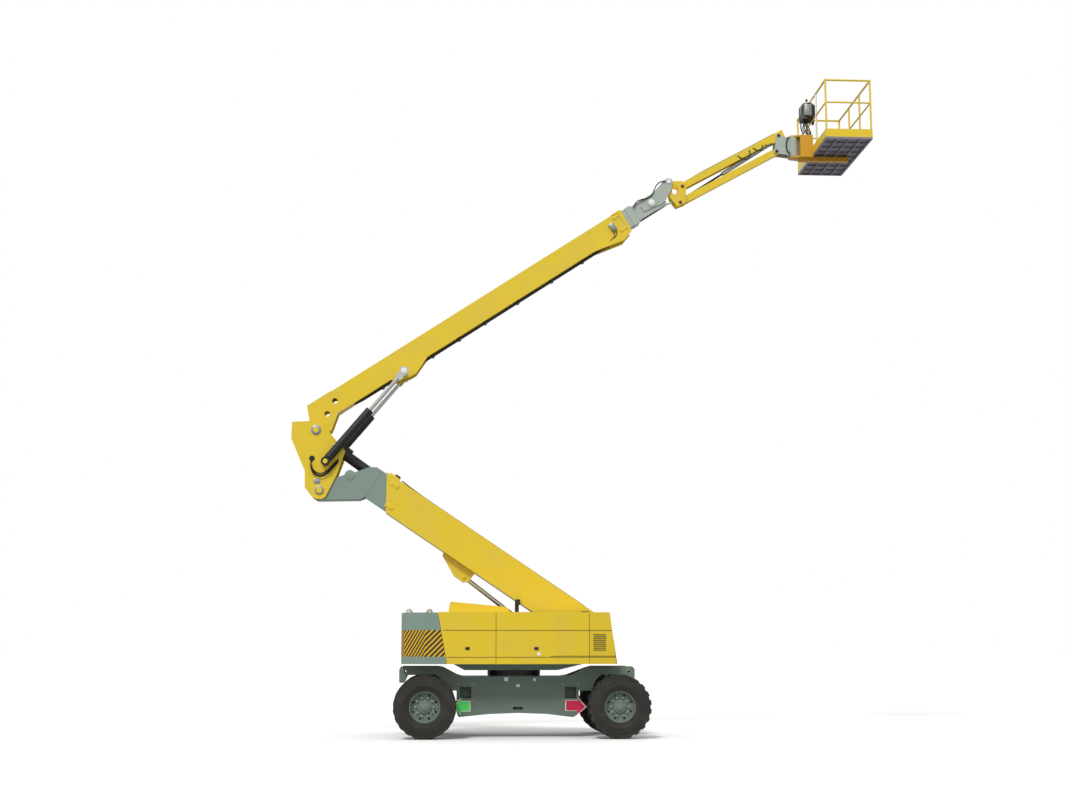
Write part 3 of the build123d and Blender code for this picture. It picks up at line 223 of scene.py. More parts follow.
def striped_casting(name, colour):
    """Painted cast weight: a coarse dull skin, a band of slanted warning stripes and a plain foot."""
    tree, shader = new_material(name, colour, 0.5)
    axes = add(tree, "ShaderNodeSeparateXYZ", [("Vector", add(tree, "ShaderNodeTexCoord").outputs["Object"])])
    x, y, z = (axes.outputs[axis] for axis in "XYZ")
    slant = calculate(tree, "SUBTRACT", calculate(tree, "ADD", x, calculate(tree, "ABSOLUTE", y)), z)
    part_turn = calculate(tree, "FRACT", calculate(tree, "DIVIDE", slant, sizes().stripe))
    dark = calculate(tree, "GREATER_THAN", part_turn, 0.5)
    above = calculate(tree, "GREATER_THAN", z, STRIPE_BAND[0])
    below = calculate(tree, "LESS_THAN", z, STRIPE_BAND[1])
    band = calculate(tree, "MULTIPLY", above, below)
    stripes = mixed(tree, dark, SIGNAL_YELLOW, SIGNAL_BLACK)
    tree.links.new(mixed(tree, band, colour, stripes), shader.inputs["Base Color"])
    bump(tree, shader, grain(tree, 14, 4.0), strength=0.18, height_mm=1.5)


def tyre_rubber():
    """Moulded rubber: near black and dull, so the lugs read by their shadows, paler where dust lies."""
    tree, shader = new_material("moulded tyre rubber", TYRE_BLACK, 0.82)
    blotch(tree, shader, TYRE_BLACK, TYRE_DUST, grain(tree, 260, 6.0), low=0.45, high=0.85)
    bump(tree, shader, grain(tree, 6, 4.0), strength=0.3, height_mm=1.0)


def hard_chrome():
    """Ground and chromed rod: a sharp bright line of sky, softened in patches by a film of oil."""
    tree, shader = new_material("hard chrome plate", linear("#D9DBDC"), 0.12, 1.0)
    uneven_gloss(tree, shader, grain(tree, 60, 4.0), 0.08, 0.24)


def plain_coat(name, code, roughness, cell_mm=30.0, strength=0.12, metallic=0.0):
    """Powder coat, rubber cover or moulded plastic: even colour with a fine skin and slight wear."""
    colour = linear(code)
    worn = [min(1.0, c * 1.35 + 0.015) for c in colour[:3]] + [1.0]
    tree, shader = new_material(name, colour, roughness, metallic)
    blotch(tree, shader, colour, worn, grain(tree, 160, 5.0), low=0.5, high=0.85)
    bump(tree, shader, grain(tree, cell_mm), strength, height_mm=0.8)


def make_materials():
    """All finishes of the machine."""
    tints = paint()
    # Warm, bright and glossy: the colour by which the machine is seen from afar.
    booth_paint("yellow booth paint", list(tints.yellow))
    # Cooler and duller than the yellow, so the inner arm and the turntable stand back.
    booth_paint("grey green booth paint", list(tints.grey_green), 0.4)
    # The darkest of the paints, with the least gloss, which sets the machine on its wheels.
    booth_paint("chassis booth paint", list(tints.chassis), 0.45)
    # Pale and cool, which marks the sections that slide.
    booth_paint("boom grey booth paint", list(tints.boom_grey), 0.38)
    # Deeper than the yellow, which sets the basket's mount apart from the rails.
    booth_paint("amber booth paint", linear("#D9A01A"), 0.4)
    striped_casting("striped cast weight", list(tints.grey_green))
    tyre_rubber()
    hard_chrome()
    # Half gloss black that still shows the edges of barrels and brackets.
    plain_coat("black satin enamel", "#1D1D1D", 0.42)
    # Dull black with a fine weave, so a hose is told from a painted tube.
    plain_coat("hose cover rubber", "#191918", 0.62, 4.0, 0.2)
    # Dark grey with a moulded grain and soft highlights.
    plain_coat("moulded black plastic", "#262626", 0.55, 3.0, 0.2)
    # Grey metal with a broad soft shine.
    plain_coat("galvanised steel", "#A3A7A8", 0.42, 12.0, 0.1, 1.0)
    # Dusty metal, partly covered, without a clear reflection.
    plain_coat("grating aluminium", "#8E8A94", 0.45, 6.0, 0.2, 0.6)
    # Flat and even, so that a sign looks stuck on.
    plain_coat("white vinyl film", "#F1F1EE", 0.4, 8.0, 0.02)
    plain_coat("green vinyl film", "#5CEB6C", 0.4, 8.0, 0.02)
    plain_coat("red vinyl film", "#D81F4B", 0.4, 8.0, 0.02)
    # Off-white and waxy, seen at the boom's mouth.
    plain_coat("wear pad nylon", "#E7E4D6", 0.5, 5.0, 0.05)
    # Faintly yellow metal that sparkles on nuts.
    plain_coat("zinc plated steel", "#B9B4A0", 0.35, 5.0, 0.05, 1.0)
    # Rust red primer without gloss.
    plain_coat("pin red oxide", "#6E2A1E", 0.5)


FINISHED_NODES = {
    "chassis booth paint": ("chassis_side_left", "chassis_side_right", "chassis_frame", "front_axle",
                            "rear_axle"),
    "grey green booth paint": ("turntable_bed", "arm_extension"),
    "striped cast weight": ("counterweight",),
    "yellow booth paint": ("lower_arm", "boom_knuckle", "boom_outer", "tip_link", "jib_upper", "jib_lower",
                           "basket_rails", "entry_bar", "cowl_left", "cowl_right"),
    "boom grey booth paint": ("boom_mid", "boom_fly", "jib_barrel", "jib_head"),
    "amber booth paint": ("basket_mount",),
    "black satin enamel": ("slew_ring", "engine_block", "fluid_tanks", "exhaust", "arm_barrel",
                           "level_barrel", "boom_barrels", "tip_barrel", "jib_rod"),
    "hard chrome plate": ("front_steer_rod", "rear_steer_rod", "arm_rod", "level_rod", "boom_rods",
                          "tip_rod"),
    "grating aluminium": ("basket_floor",),
    "moulded black plastic": ("console",),
}
CORNER_FINISH = {
    "tyre_": "moulded tyre rubber",
    "rim_": "chassis booth paint",
    "steer_knuckle_": "black satin enamel",
}


# Modelling helpers

SMOOTH_ANGLE = math.radians(35)
BEVEL_SEGMENTS = 2
# Half the width across a hexagon's corners, as a share of the width across its flats.
HEX_CORNER = 0.577


def deselect():
    """Leaves edit mode and deselects everything."""
    if bpy.context.object and bpy.context.object.mode != "OBJECT":
        bpy.ops.object.mode_set(mode="OBJECT")
    bpy.ops.object.select_all(action="DESELECT")


def apply_place():
    """Moves an object's place, turn and scale into its mesh."""
    bpy.ops.object.transform_apply(location=True, rotation=True, scale=True)


def bevel_all(width):
    """Rounds every edge of the active mesh."""
    bpy.ops.object.mode_set(mode="EDIT")
    bpy.ops.mesh.select_all(action="SELECT")
    bpy.ops.mesh.bevel(offset=width, segments=BEVEL_SEGMENTS, affect="EDGES")
    bpy.ops.object.mode_set(mode="OBJECT")


def block(x, y, z, bevel):
    """Block from its two ends on each axis, in either order, with rounded edges."""
    deselect()
    low, high = (Vector(corner) for corner in zip(sorted(x), sorted(y), sorted(z)))
    bpy.ops.mesh.primitive_cube_add(size=1, location=(low + high) / 2, scale=high - low)
    apply_place()
    if bevel:
        bevel_all(bevel)
    return bpy.context.object


def rod(start, end, radius, vertices, bevel=0.002):
    """Round bar between two points with rounded rims."""
    deselect()
    start, end = Vector(start), Vector(end)
    line = end - start
    turn = line.to_track_quat("Z", "Y").to_euler()
    bpy.ops.mesh.primitive_cylinder_add(vertices=vertices, radius=radius, depth=line.length,
                                        location=(start + end) / 2, rotation=turn)
    apply_place()
    piece = bpy.context.object
    if bevel:
        modifier = piece.modifiers.new("rim", "BEVEL")
        modifier.width = bevel
        modifier.segments = BEVEL_SEGMENTS
        modifier.limit_method = "ANGLE"
        bpy.ops.object.modifier_apply(modifier=modifier.name)
    return piece


def peg(x, z, near, far, radius, vertices, bevel=0.002):
    """Round bar across the machine, from near to far."""
    return rod((x, near, z), (x, far, z), radius, vertices, bevel)


def nut(centre, axis, across, height):
    """Hexagonal nut or bolt head on an axis."""
    centre, axis = Vector(centre), Vector(axis).normalized()
    return rod(centre, centre + axis * height, across * HEX_CORNER, 6, across * 0.05)


def around(count, radius, first=0.0):
    """Offsets of points that lie evenly on a circle."""
    angles = [math.tau * i / count + first for i in range(count)]
    return [(radius * math.cos(angle), radius * math.sin(angle)) for angle in angles]


def ring(centre, radius, bar, segments, bar_segments):
    """Upright ring of round bar that faces sideways."""
    deselect()
    bpy.ops.mesh.primitive_torus_add(major_radius=radius, minor_radius=bar, major_segments=segments,
                                     minor_segments=bar_segments, location=centre,
                                     rotation=(math.pi / 2, 0, 0))
    return bpy.context.object


def sheet_plate(outline, near, far, bevel=0.0):
    """Upright plate whose outline is given in X and Z, from near to far."""
    deselect()
    bpy.ops.mesh.primitive_circle_add(vertices=len(outline), radius=1, fill_type="NGON")
    piece = bpy.context.object
    for vertex, (x, z) in zip(piece.data.vertices, outline):
        vertex.co = (x, near, z)
    bpy.ops.object.mode_set(mode="EDIT")
    bpy.ops.mesh.select_all(action="SELECT")
    bpy.ops.mesh.extrude_region_move(TRANSFORM_OT_translate={"value": (0, far - near, 0)})
    bpy.ops.mesh.select_all(action="SELECT")
    bpy.ops.mesh.normals_make_consistent(inside=False)
    if bevel:
        bpy.ops.mesh.bevel(offset=bevel, segments=BEVEL_SEGMENTS, affect="EDGES")
    bpy.ops.object.mode_set(mode="OBJECT")
    return piece


def hose(points, radius):
    """Round hose or bent bar along smooth points, as a mesh."""
    deselect()
    bpy.ops.curve.primitive_nurbs_path_add()
    piece = bpy.context.object
    piece.data.splines.clear()
    spline = piece.data.splines.new("NURBS")
    spline.points.add(len(points) - 1)
    for target, point in zip(spline.points, points):
        target.co = (*point, 1.0)
    spline.order_u = 3
    spline.use_endpoint_u = True
    spline.resolution_u = 6
    piece.data.bevel_depth = radius
    piece.data.bevel_resolution = 3
    piece.data.use_fill_caps = True
    bpy.ops.object.convert(target="MESH")
    return bpy.context.object


def bundle(route, offsets, radius):
    """Hoses side by side along one route in X and Z."""
    return [hose([(x, y, z) for x, z in route], radius) for y in offsets]


def finish_piece(pieces, name, body, material, where=WORLD):
    """Joins like pieces, names them, bakes their place into the mesh and makes them ride on their body."""
    deselect()
    for piece in pieces:
        piece.select_set(True)
    bpy.context.view_layer.objects.active = pieces[0]
    if len(pieces) > 1:
        bpy.ops.object.join()
    piece = bpy.context.object
    piece.matrix_world = where @ piece.matrix_world
    apply_place()
    piece.name = name
    piece.data.name = name
    piece.data.materials.clear()
    piece.data.materials.append(finishes[material])
    bpy.ops.object.shade_smooth_by_angle(angle=SMOOTH_ANGLE)
    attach(piece, body)


def finish_hoses(lines, name, body, where=WORLD):
    """Finishes hoses or cables as one rubber-covered piece."""
    finish_piece(lines, name, body, "hose cover rubber", where)


class LiftOperator(bpy.types.Operator):
    """Base of the dressing steps."""

    bl_options = {"REGISTER", "UNDO"}


CAMERA_PLACE = (-1.425, -30.633, 1.646)
CAMERA_TILT = 0.154
CAMERA_TURN = 0.059
CAMERA_LENS = 53.74
CAMERA_SENSOR = 36
SUN_PLACE = (-8, -14, 20)
SUN_FROM = Vector((-0.35, -0.75, 0.9))
WHITE = (1, 1, 1, 1)
FLOOR_SEEN = (0.97, 0.97, 0.97, 1)
FLOOR_BOUNCED = (0.34, 0.34, 0.34, 1)


class LIFT_OT_stage(LiftOperator):
    """Floor, world, sun and the camera at the photograph's place"""

    bl_idname = "lift.stage"
    bl_label = "Stage"

    def execute(self, context):
        self.add_floor(context)
        self.add_world(context)
        self.add_sun(context)
        self.add_camera(context)
        context.scene.view_settings.view_transform = "Standard"
        return {"FINISHED"}

    def split_by_ray(self, tree, unseen, seen, output):
        """Gives the camera one shader and every other ray another."""
        path = add(tree, "ShaderNodeLightPath")
        mix = add(tree, "ShaderNodeMixShader", [(0, path.outputs["Is Camera Ray"]), (1, unseen.outputs[0]),
                                                (2, seen.outputs[0])])
        tree.links.new(mix.outputs[0], tree.nodes[output].inputs["Surface"])

    def add_floor(self, context):
        """White to the eye and grey to the light, so it throws little light up under the machine."""
        deselect()
        bpy.ops.mesh.primitive_plane_add(size=600)
        floor = context.object
        floor.name = "studio_floor"
        material = bpy.data.materials.new("pale studio floor")
        material.use_nodes = True
        tree = material.node_tree
        tree.nodes.remove(tree.nodes["Principled BSDF"])
        seen = add(tree, "ShaderNodeBsdfDiffuse", Color=FLOOR_SEEN)
        bounced = add(tree, "ShaderNodeBsdfDiffuse", Color=FLOOR_BOUNCED)
        self.split_by_ray(tree, bounced, seen, "Material Output")
        floor.data.materials.append(material)

    def add_world(self, context):
        """An even sky that lights the machine softly and shows as plain white."""
        world = bpy.data.worlds.new("pale studio")
        context.scene.world = world
        world.use_nodes = True
        tree = world.node_tree
        light = tree.nodes["Background"]
        light.inputs["Color"].default_value = WHITE
        light.inputs["Strength"].default_value = 0.72
        backdrop = add(tree, "ShaderNodeBackground", Color=WHITE, Strength=1.0)
        self.split_by_ray(tree, light, backdrop, "World Output")

    def add_sun(self, context):
        """A veiled sun from the near left, with soft shadows."""
        deselect()
        bpy.ops.object.light_add(type="SUN", location=SUN_PLACE)
        sun = context.object
        sun.name = "sun"
        sun.data.energy = 1.7
        sun.data.angle = math.radians(12)
        sun.rotation_euler = SUN_FROM.to_track_quat("Z", "Y").to_euler()

    def add_camera(self, context):
        """The camera where the photograph was taken from."""
        deselect()
        level = math.cos(CAMERA_TILT)
        look = Vector((math.sin(CAMERA_TURN) * level, math.cos(CAMERA_TURN) * level, math.sin(CAMERA_TILT)))
        bpy.ops.object.camera_add(location=CAMERA_PLACE, rotation=look.to_track_quat("-Z", "Y").to_euler())
        camera = context.object
        camera.name = "camera"
        camera.data.lens = CAMERA_LENS
        camera.data.sensor_width = CAMERA_SENSOR
        camera.data.clip_end = 900
        context.scene.camera = camera


class LIFT_OT_finishes(LiftOperator):
    """Paint and metal on the machine's own parts"""

    bl_idname = "lift.finishes"
    bl_label = "Finishes"

    def execute(self, context):
        make_materials()
        names = {node: finish for finish, nodes in FINISHED_NODES.items() for node in nodes}
        for corner in CORNERS:
            for start, finish in CORNER_FINISH.items():
                names[start + corner] = finish
        for name, node in frame["nodes"].items():
            node.data.materials.clear()
            node.data.materials.append(finishes[names[name]])
        return {"FINISHED"}


RIM_DISC_DEPTH = 0.118
HUB_RADIUS = 0.118
HUB_HEIGHT = 0.05
HUB_CAP_RADIUS = 0.07
HUB_PLUGS = 6
HUB_PLUG_CIRCLE = 0.095
WHEEL_NUTS = 10
WHEEL_NUT_CIRCLE = 0.1675
RIM_LIP_RADII = (0.287, 0.277)


class LIFT_OT_wheels(LiftOperator):
    """Hub caps, wheel nuts and valve of every wheel"""

    bl_idname = "lift.wheels"
    bl_label = "Wheels"

    def execute(self, context):
        for corner in CORNERS:
            low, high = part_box("rim_" + corner)
            side = 1 if high.y > 0 else -1
            outer = high.y if side > 0 else low.y
            centre = (low + high) / 2
            x, z = centre.x, centre.z
            face = outer - side * RIM_DISC_DEPTH
            out = Vector((0, side, 0))
            wheel = "wheel_" + corner
            hub_end = face + side * HUB_HEIGHT
            hub = [peg(x, z, face, hub_end, HUB_RADIUS, 40, 0.01),
                   peg(x, z, face + side * 0.045, face + side * 0.075, HUB_CAP_RADIUS, 32, 0.006)]
            for dx, dz in around(HUB_PLUGS, HUB_PLUG_CIRCLE):
                hub.append(nut((x + dx, hub_end, z + dz), out, 0.018, 0.008))
            finish_piece(hub, "hub_" + corner, wheel, "chassis booth paint")
            nuts = []
            for dx, dz in around(WHEEL_NUTS, WHEEL_NUT_CIRCLE):
                spot = Vector((x + dx, face + side * 0.022, z + dz))
                nuts.append(nut(spot, out, 0.032, 0.028))
                nuts.append(rod(spot + out * 0.02, spot + out * 0.042, 0.011, 12))
            finish_piece(nuts, "wheel_nuts_" + corner, wheel, "zinc plated steel")
            lip = [ring((x, outer - side * 0.012, z), radius, 0.011, 64, 10) for radius in RIM_LIP_RADII]
            lip.append(peg(x + 0.24, z, face, face + side * 0.07, 0.007, 12, 0.001))
            finish_piece(lip, "rim_lip_" + corner, wheel, "chassis booth paint")
        return {"FINISHED"}


SIDE_FACE = 0.5602
FILM = 0.0015
ARROW_BORDER = 1.1
ARROWS = {
    "green": ((-1.13, 0.56), (-1.0, 0.72), (-1.0, 0.66), (-0.84, 0.66), (-0.84, 0.483), (-1.0, 0.483),
              (-1.0, 0.41)),
    "red": ((1.31, 0.555), (1.165, 0.72), (1.165, 0.672), (0.95, 0.672), (0.95, 0.49), (1.15, 0.49),
            (1.15, 0.42)),
}
# Left end, foot, width and height of each blank label.
SIDE_LABELS = ((-0.205, 1.03, 0.075, 0.07), (0.335, 1.03, 0.05, 0.05), (0.018, 0.92, 0.07, 0.05))
# The drain slot is painted shade: a flat black sheet for the dark opening, given by its ends, height and
# radius.
DRAIN_ENDS = (-0.02, 0.12)
DRAIN_HEIGHT = 0.533
DRAIN_RADIUS = 0.026
TIE_RING_XS = (-2.044, 2.128)
SOCKET_XS = (-0.922, 1.033)
SOCKET_HEIGHT = 0.818
SOCKET_BOLT_OFFSETS = (-0.145, 0.145)
PEDESTAL_BOLTS = 28
PEDESTAL_BOLT_CIRCLE = 0.472
PEDESTAL_TOP = 1.112


class LIFT_OT_chassis(LiftOperator):
    """Direction arrows, blank labels, painted shade of the drain slots, bolts and axle hoses of the chassis
    """

    bl_idname = "lift.chassis"
    bl_label = "Chassis"

    def execute(self, context):
        for side, name in NAMED_SIDES:
            near, far = side * SIDE_FACE, side * (SIDE_FACE + FILM)
            for colour, outline in ARROWS.items():
                middle = sum((Vector(point) for point in outline), Vector((0, 0))) / len(outline)
                grown = [tuple(middle + (Vector(point) - middle) * ARROW_BORDER) for point in outline]
                border = sheet_plate(grown, near, far)
                finish_piece([border], "arrow_edge_" + colour + "_" + name, "chassis", "white vinyl film")
                arrow = sheet_plate(outline, far, far + side * FILM)
                finish_piece([arrow], "arrow_" + colour + "_" + name, "chassis", colour + " vinyl film")
            labels = [block((x, x + width), (near, far), (z, z + height), 0.0004)
                      for x, z, width, height in SIDE_LABELS]
            finish_piece(labels, "blank_labels_" + name, "chassis", "white vinyl film")
            # Painted shade: a flat black sheet on the side plate stands for the dark inside of each drain
            # slot.
            slot = [peg(x, DRAIN_HEIGHT, near, far, DRAIN_RADIUS, 24, 0) for x in DRAIN_ENDS]
            slot.append(block(DRAIN_ENDS, (near, far),
                              (DRAIN_HEIGHT - DRAIN_RADIUS, DRAIN_HEIGHT + DRAIN_RADIUS), 0))
            finish_piece(slot, "drain_slot_shade_" + name, "chassis", "black satin enamel")
            rings = [ring((x, side * 0.561, 1.205), 0.031, 0.006, 32, 8) for x in TIE_RING_XS]
            for x in SOCKET_XS:
                for dx in SOCKET_BOLT_OFFSETS:
                    for dz in SOCKET_BOLT_OFFSETS:
                        spot = (x + dx, side * 0.56, SOCKET_HEIGHT + dz)
                        rings.append(nut(spot, (0, side, 0), 0.024, 0.014))
            finish_piece(rings, "plate_bolts_" + name, "chassis", "zinc plated steel")
        bolts = [nut((x, y, PEDESTAL_TOP), (0, 0, 1), 0.024, 0.016)
                 for x, y in around(PEDESTAL_BOLTS, PEDESTAL_BOLT_CIRCLE)]
        finish_piece(bolts, "pedestal_bolts", "chassis", "zinc plated steel")
        for end in ("front", "rear"):
            low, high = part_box(end + "_axle")
            x = (low.x + high.x) / 2
            lines = [hose([(x - 0.03, side * 0.16, 0.70), (x - 0.02, side * 0.3, 0.69),
                           (x, side * 0.42, 0.665), (x, side * 0.5, 0.66)], sizes().hose / 2)
                     for side in SIDES]
            finish_hoses(lines, "axle_hoses_" + end, "chassis")
        return {"FINISHED"}


COWL_REAR = -1.36
COWL_FRONT = 1.75
# The cowl's outer face from above, as X and half width.
COWL_PLAN = ((-1.5, 1.17), (0.0, 1.17), (0.7, 1.145), (1.35, 1.06), (1.9, 0.91))
# Height of each long seam, and where it bends.
COWL_SEAMS = (
    (1.957, (COWL_REAR + 0.012, 0.0, 0.7, 1.35, COWL_FRONT + 0.03)),
    (1.470, (COWL_REAR + 0.087, 0.0, 0.7, 1.35, COWL_FRONT + 0.09)),
    (1.490, (0.62, 0.7, 1.35, COWL_FRONT + 0.09)),
)
COWL_UPRIGHT_XS = (-0.38, 1.345)
COWL_UPRIGHT_ENDS = (1.36, 2.27)
LATCH_XS = (0.36, -0.9)
LATCH_HEIGHT = 1.628
COWL_LABEL_X = 0.407
VENT_XS = (1.42, 1.66)
VENT_FOOT = 1.60
VENT_PITCH = 0.035
VENTS = 9


def cowl_skin(x):
    """Half width of the cowls at X."""
    for (x0, y0), (x1, y1) in zip(COWL_PLAN, COWL_PLAN[1:]):
        if x <= x1:
            return y0 + (y1 - y0) * (x - x0) / (x1 - x0)
    return COWL_PLAN[-1][1]


class LIFT_OT_cowls(LiftOperator):
    """Seams, latches, vents, trim and blank labels of both cowls"""

    bl_idname = "lift.cowls"
    bl_label = "Cowls"

    def execute(self, context):
        for side, name in NAMED_SIDES:
            body = "cowl_" + name
            # Each point comes twice, so that the seam bends sharply there.
            seams = []
            for z, spots in COWL_SEAMS:
                points = [(x, side * (cowl_skin(x) + 0.0012), z) for x in spots for repeat in (0, 1)]
                seams.append(hose(points, 0.0045))
            for x in COWL_UPRIGHT_XS:
                seams.append(hose([(x, side * (cowl_skin(x) + 0.001), z) for z in COWL_UPRIGHT_ENDS], 0.004))
            finish_piece(seams, "cowl_seams_" + name, body, "black satin enamel")
            latches = []
            for x in LATCH_XS:
                y = side * cowl_skin(x)
                latches.append(block((x - 0.04, x + 0.04), (y, y + side * 0.008), (1.60, 1.655), 0.004))
                latches.append(peg(x, LATCH_HEIGHT, y, y + side * 0.016, 0.018, 20, 0.003))
            finish_piece(latches, "cowl_latches_" + name, body, "moulded black plastic")
            y = side * cowl_skin(COWL_LABEL_X)
            tag = block((0.375, 0.44), (y, y + side * 0.002), (1.50, 1.555), 0.0005)
            finish_piece([tag], "cowl_label_" + name, body, "white vinyl film")
            heights = [VENT_FOOT + i * VENT_PITCH for i in range(VENTS)]
            vents = [hose([(x, side * (cowl_skin(x) + 0.002), z) for x in VENT_XS], 0.007) for z in heights]
            finish_piece(vents, "cowl_vents_" + name, body, "moulded black plastic")
            trims = [hose([(1.735, side * 0.36, 2.288), (1.735, side * 0.952, 2.288),
                           (1.862, side * 0.918, 1.352)], 0.008),
                     hose([(-1.43, side * 0.36, 2.286), (-1.43, side * 1.16, 2.284),
                           (-1.262, side * 1.165, 1.352)], 0.006)]
            finish_piece(trims, "cowl_edge_trim_" + name, body, "hose cover rubber")
            cap = rod((1.29, side * 0.8, 2.284), (1.29, side * 0.8, 2.31), 0.07, 32, 0.006)
            finish_piece([cap], "filler_cap_" + name, body, "moulded black plastic")
        return {"FINISHED"}


BEACON_X = 0.06
BEACON_Y = -0.31
EYE_XS = (-1.98, -1.6)
EYE_Y = 0.7
ARM_PIVOT_X = 1.45
ARM_PIVOT_Z = 1.96
PANEL_RIB_PITCH = 0.08


class LIFT_OT_turntable(LiftOperator):
    """Beacon post, lifting eyes, end panel trim and hoses of the turntable"""

    bl_idname = "lift.turntable"
    bl_label = "Turntable"

    def execute(self, context):
        post = [rod((BEACON_X, BEACON_Y, 1.9), (BEACON_X, BEACON_Y, 2.5), 0.02, 20),
                rod((BEACON_X, BEACON_Y, 2.44), (BEACON_X, BEACON_Y, 2.545), 0.045, 28, 0.008)]
        finish_piece(post, "beacon_post", "turntable", "moulded black plastic")
        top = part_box("counterweight")[1].z
        eyes = []
        for side in SIDES:
            for x in EYE_XS:
                y = side * EYE_Y
                eyes.append(ring((x, y, top + 0.02), 0.045, 0.012, 28, 10))
                eyes.append(rod((x, y, top - 0.01), (x, y, top + 0.008), 0.04, 24, 0.003))
        finish_piece(eyes, "lifting_eyes", "turntable", "zinc plated steel")
        caps = []
        for side in SIDES:
            caps.append(peg(ARM_PIVOT_X, ARM_PIVOT_Z, side * 0.31, side * 0.338, 0.085, 32, 0.006))
            for dx, dz in around(6, 0.1):
                spot = (ARM_PIVOT_X + dx, side * 0.314, ARM_PIVOT_Z + dz)
                caps.append(nut(spot, (0, side, 0), 0.02, 0.012))
        finish_piece(caps, "arm_pivot_caps", "turntable", "black satin enamel")
        bars = bundle(((1.74, 2.2), (1.86, 1.5)), [i * PANEL_RIB_PITCH for i in range(-3, 4)], 0.006)
        finish_piece(bars, "end_panel_ribs", "turntable", "black satin enamel")
        lines = [hose([(0.9, side * 0.12, 1.5), (0.78, side * 0.14, 1.6), (0.4, side * 0.2, 1.62),
                       (-0.2, side * 0.22, 1.52), (-0.9, side * 0.22, 1.42)], sizes().hose / 2)
                 for side in SIDES]
        finish_hoses(lines, "turntable_hoses", "turntable")
        return {"FINISHED"}


ARM_PAD_X = 4.56
ARM_PAD_SLANT = 0.35
ARM_HOSE_ROUTE = ((0.35, 0.335), (1.5, 0.334), (3.2, 0.334), (4.3, 0.335), (4.58, 0.36))
ARM_CLIP_XS = (0.9, 1.8, 2.7, 3.6)
# The cylinders' pins in the knuckle, as X and Z.
KNUCKLE_CYLINDER_PINS = ((-3.605, 5.137), (-3.44, 5.44))
KNUCKLE_CAP_SPAN = (0.268, 0.284)
KNUCKLE_LOOP_SHIFTS = (0.0, 0.03, -0.03)


class LIFT_OT_arm(LiftOperator):
    """Pins, wear pads, brackets and hoses of the lifting arm, its inner section and the knuckle"""

    bl_idname = "lift.arm"
    bl_label = "Arm"

    def execute(self, context):
        pads = []
        for side in SIDES:
            for up in (-0.2, 0.2):
                x = ARM_PAD_X + up * ARM_PAD_SLANT
                pads.append(block((x - 0.09, x + 0.09), (side * 0.25, side * 0.258),
                                  (up - 0.04, up + 0.04), 0.003))
                for dx in (-0.055, 0.055):
                    pads.append(nut((x + dx, side * 0.257, up), (0, side, 0), 0.024, 0.012))
        finish_piece(pads, "arm_pad_plates", "lower_arm", "yellow booth paint", ARM)
        boxes = [block((4.64, 4.74), (side * 0.03, side * 0.13), (0.365, 0.40), 0.005) for side in SIDES]
        finish_piece(boxes, "arm_mouth_rollers", "lower_arm", "black satin enamel", ARM)
        finish_hoses(bundle(ARM_HOSE_ROUTE, (-0.03, 0.0, 0.03), 0.009), "arm_hoses", "lower_arm", ARM)
        clips = [block((x - 0.02, x + 0.02), (-0.06, 0.06), (0.322, 0.347), 0.003) for x in ARM_CLIP_XS]
        finish_piece(clips, "arm_hose_clips", "lower_arm", "zinc plated steel", ARM)
        self.add_knuckle()
        marks = [peg(5.45, -0.12, side * 0.224, side * 0.238, 0.1, 36, 0.004) for side in SIDES]
        finish_piece(marks, "arm_head_bosses", "arm_extension", "grey green booth paint",
                     ARM)
        return {"FINISHED"}

    def add_knuckle(self):
        """Pin caps on both sides of the knuckle, the hose loops on its near side and a flat black disc of
        painted shade where the hoses enter.
        """
        pins = [(pivot("knuckle_pin"), 0.085), (pivot("boom_lift"), 0.095)]
        pins += [(Vector((x, 0, z)), 0.05) for x, z in KNUCKLE_CYLINDER_PINS]
        near, far = KNUCKLE_CAP_SPAN
        caps = []
        for side in SIDES:
            for centre, radius in pins:
                caps.append(peg(centre.x, centre.z, side * near, side * far, radius, 36, 0.004))
                for dx, dz in around(3, radius * 0.6, 0.5):
                    caps.append(nut((centre.x + dx, side * 0.283, centre.z + dz), (0, side, 0), 0.022, 0.01))
        caps.append(block((-3.82, -3.70), (-0.276, -0.271), (4.72, 4.82), 0.002))
        finish_piece(caps, "knuckle_pin_caps", "boom_knuckle", "galvanised steel")
        loops = []
        for i, shift in enumerate(KNUCKLE_LOOP_SHIFTS):
            y = -0.29 - 0.012 * i
            route = ((-3.86, -0.26, 5.2), (-3.9, y, 5.12), (-3.84, y, 4.93), (-3.7, y, 4.87),
                     (-3.56, y, 4.94), (-3.43, y, 5.09), (-3.36, -0.26, 5.18))
            loops.append(hose([(x, across, z + shift) for x, across, z in route], sizes().hose / 2))
        # Painted shade: a flat black disc on the side plate stands for the dark opening the hoses come out
        # of.
        loops.append(peg(-3.866, 5.205, -0.2705, -0.274, 0.055, 28, 0))
        finish_hoses(loops, "knuckle_hoses_and_entry_shade", "boom_knuckle")


BOOM_BRACKET_XS = (1.53, 2.68, 3.29, 3.9, 4.66, 5.46, 6.19, 6.8)
BOOM_HOSE_ROUTE = ((0.75, 0.12), (0.9, 0.052), (1.4, 0.048), (3.0, 0.044), (5.0, 0.044), (6.9, 0.046),
                   (7.2, 0.052))
BOOM_PAD_X = 7.2
BOOM_PAD_SPAN = (7.12, 7.28)
SENSOR_SPAN = (-0.232, -0.18)
# The boom cylinders' outer eyes: X and Z in the boom's frame, and how far their pin reaches sideways.
BOOM_CYLINDER_PIN = (2.014, 0.039)
BOOM_CYLINDER_PIN_END = 0.457
FLY_HOSE_ROUTE = ((7.62, 0.40), (7.7, 0.46), (7.82, 0.455), (7.93, 0.41), (8.06, 0.4), (8.16, 0.47),
                  (8.28, 0.545), (8.4, 0.54), (8.46, 0.5))
# Each pin of the fly's end: X, Z, its cap's two ends sideways and its radius.
FLY_PINS = ((7.982, 0.2885, 0.16, 0.172, 0.062), (8.513, 0.46, 0.158, 0.168, 0.042))


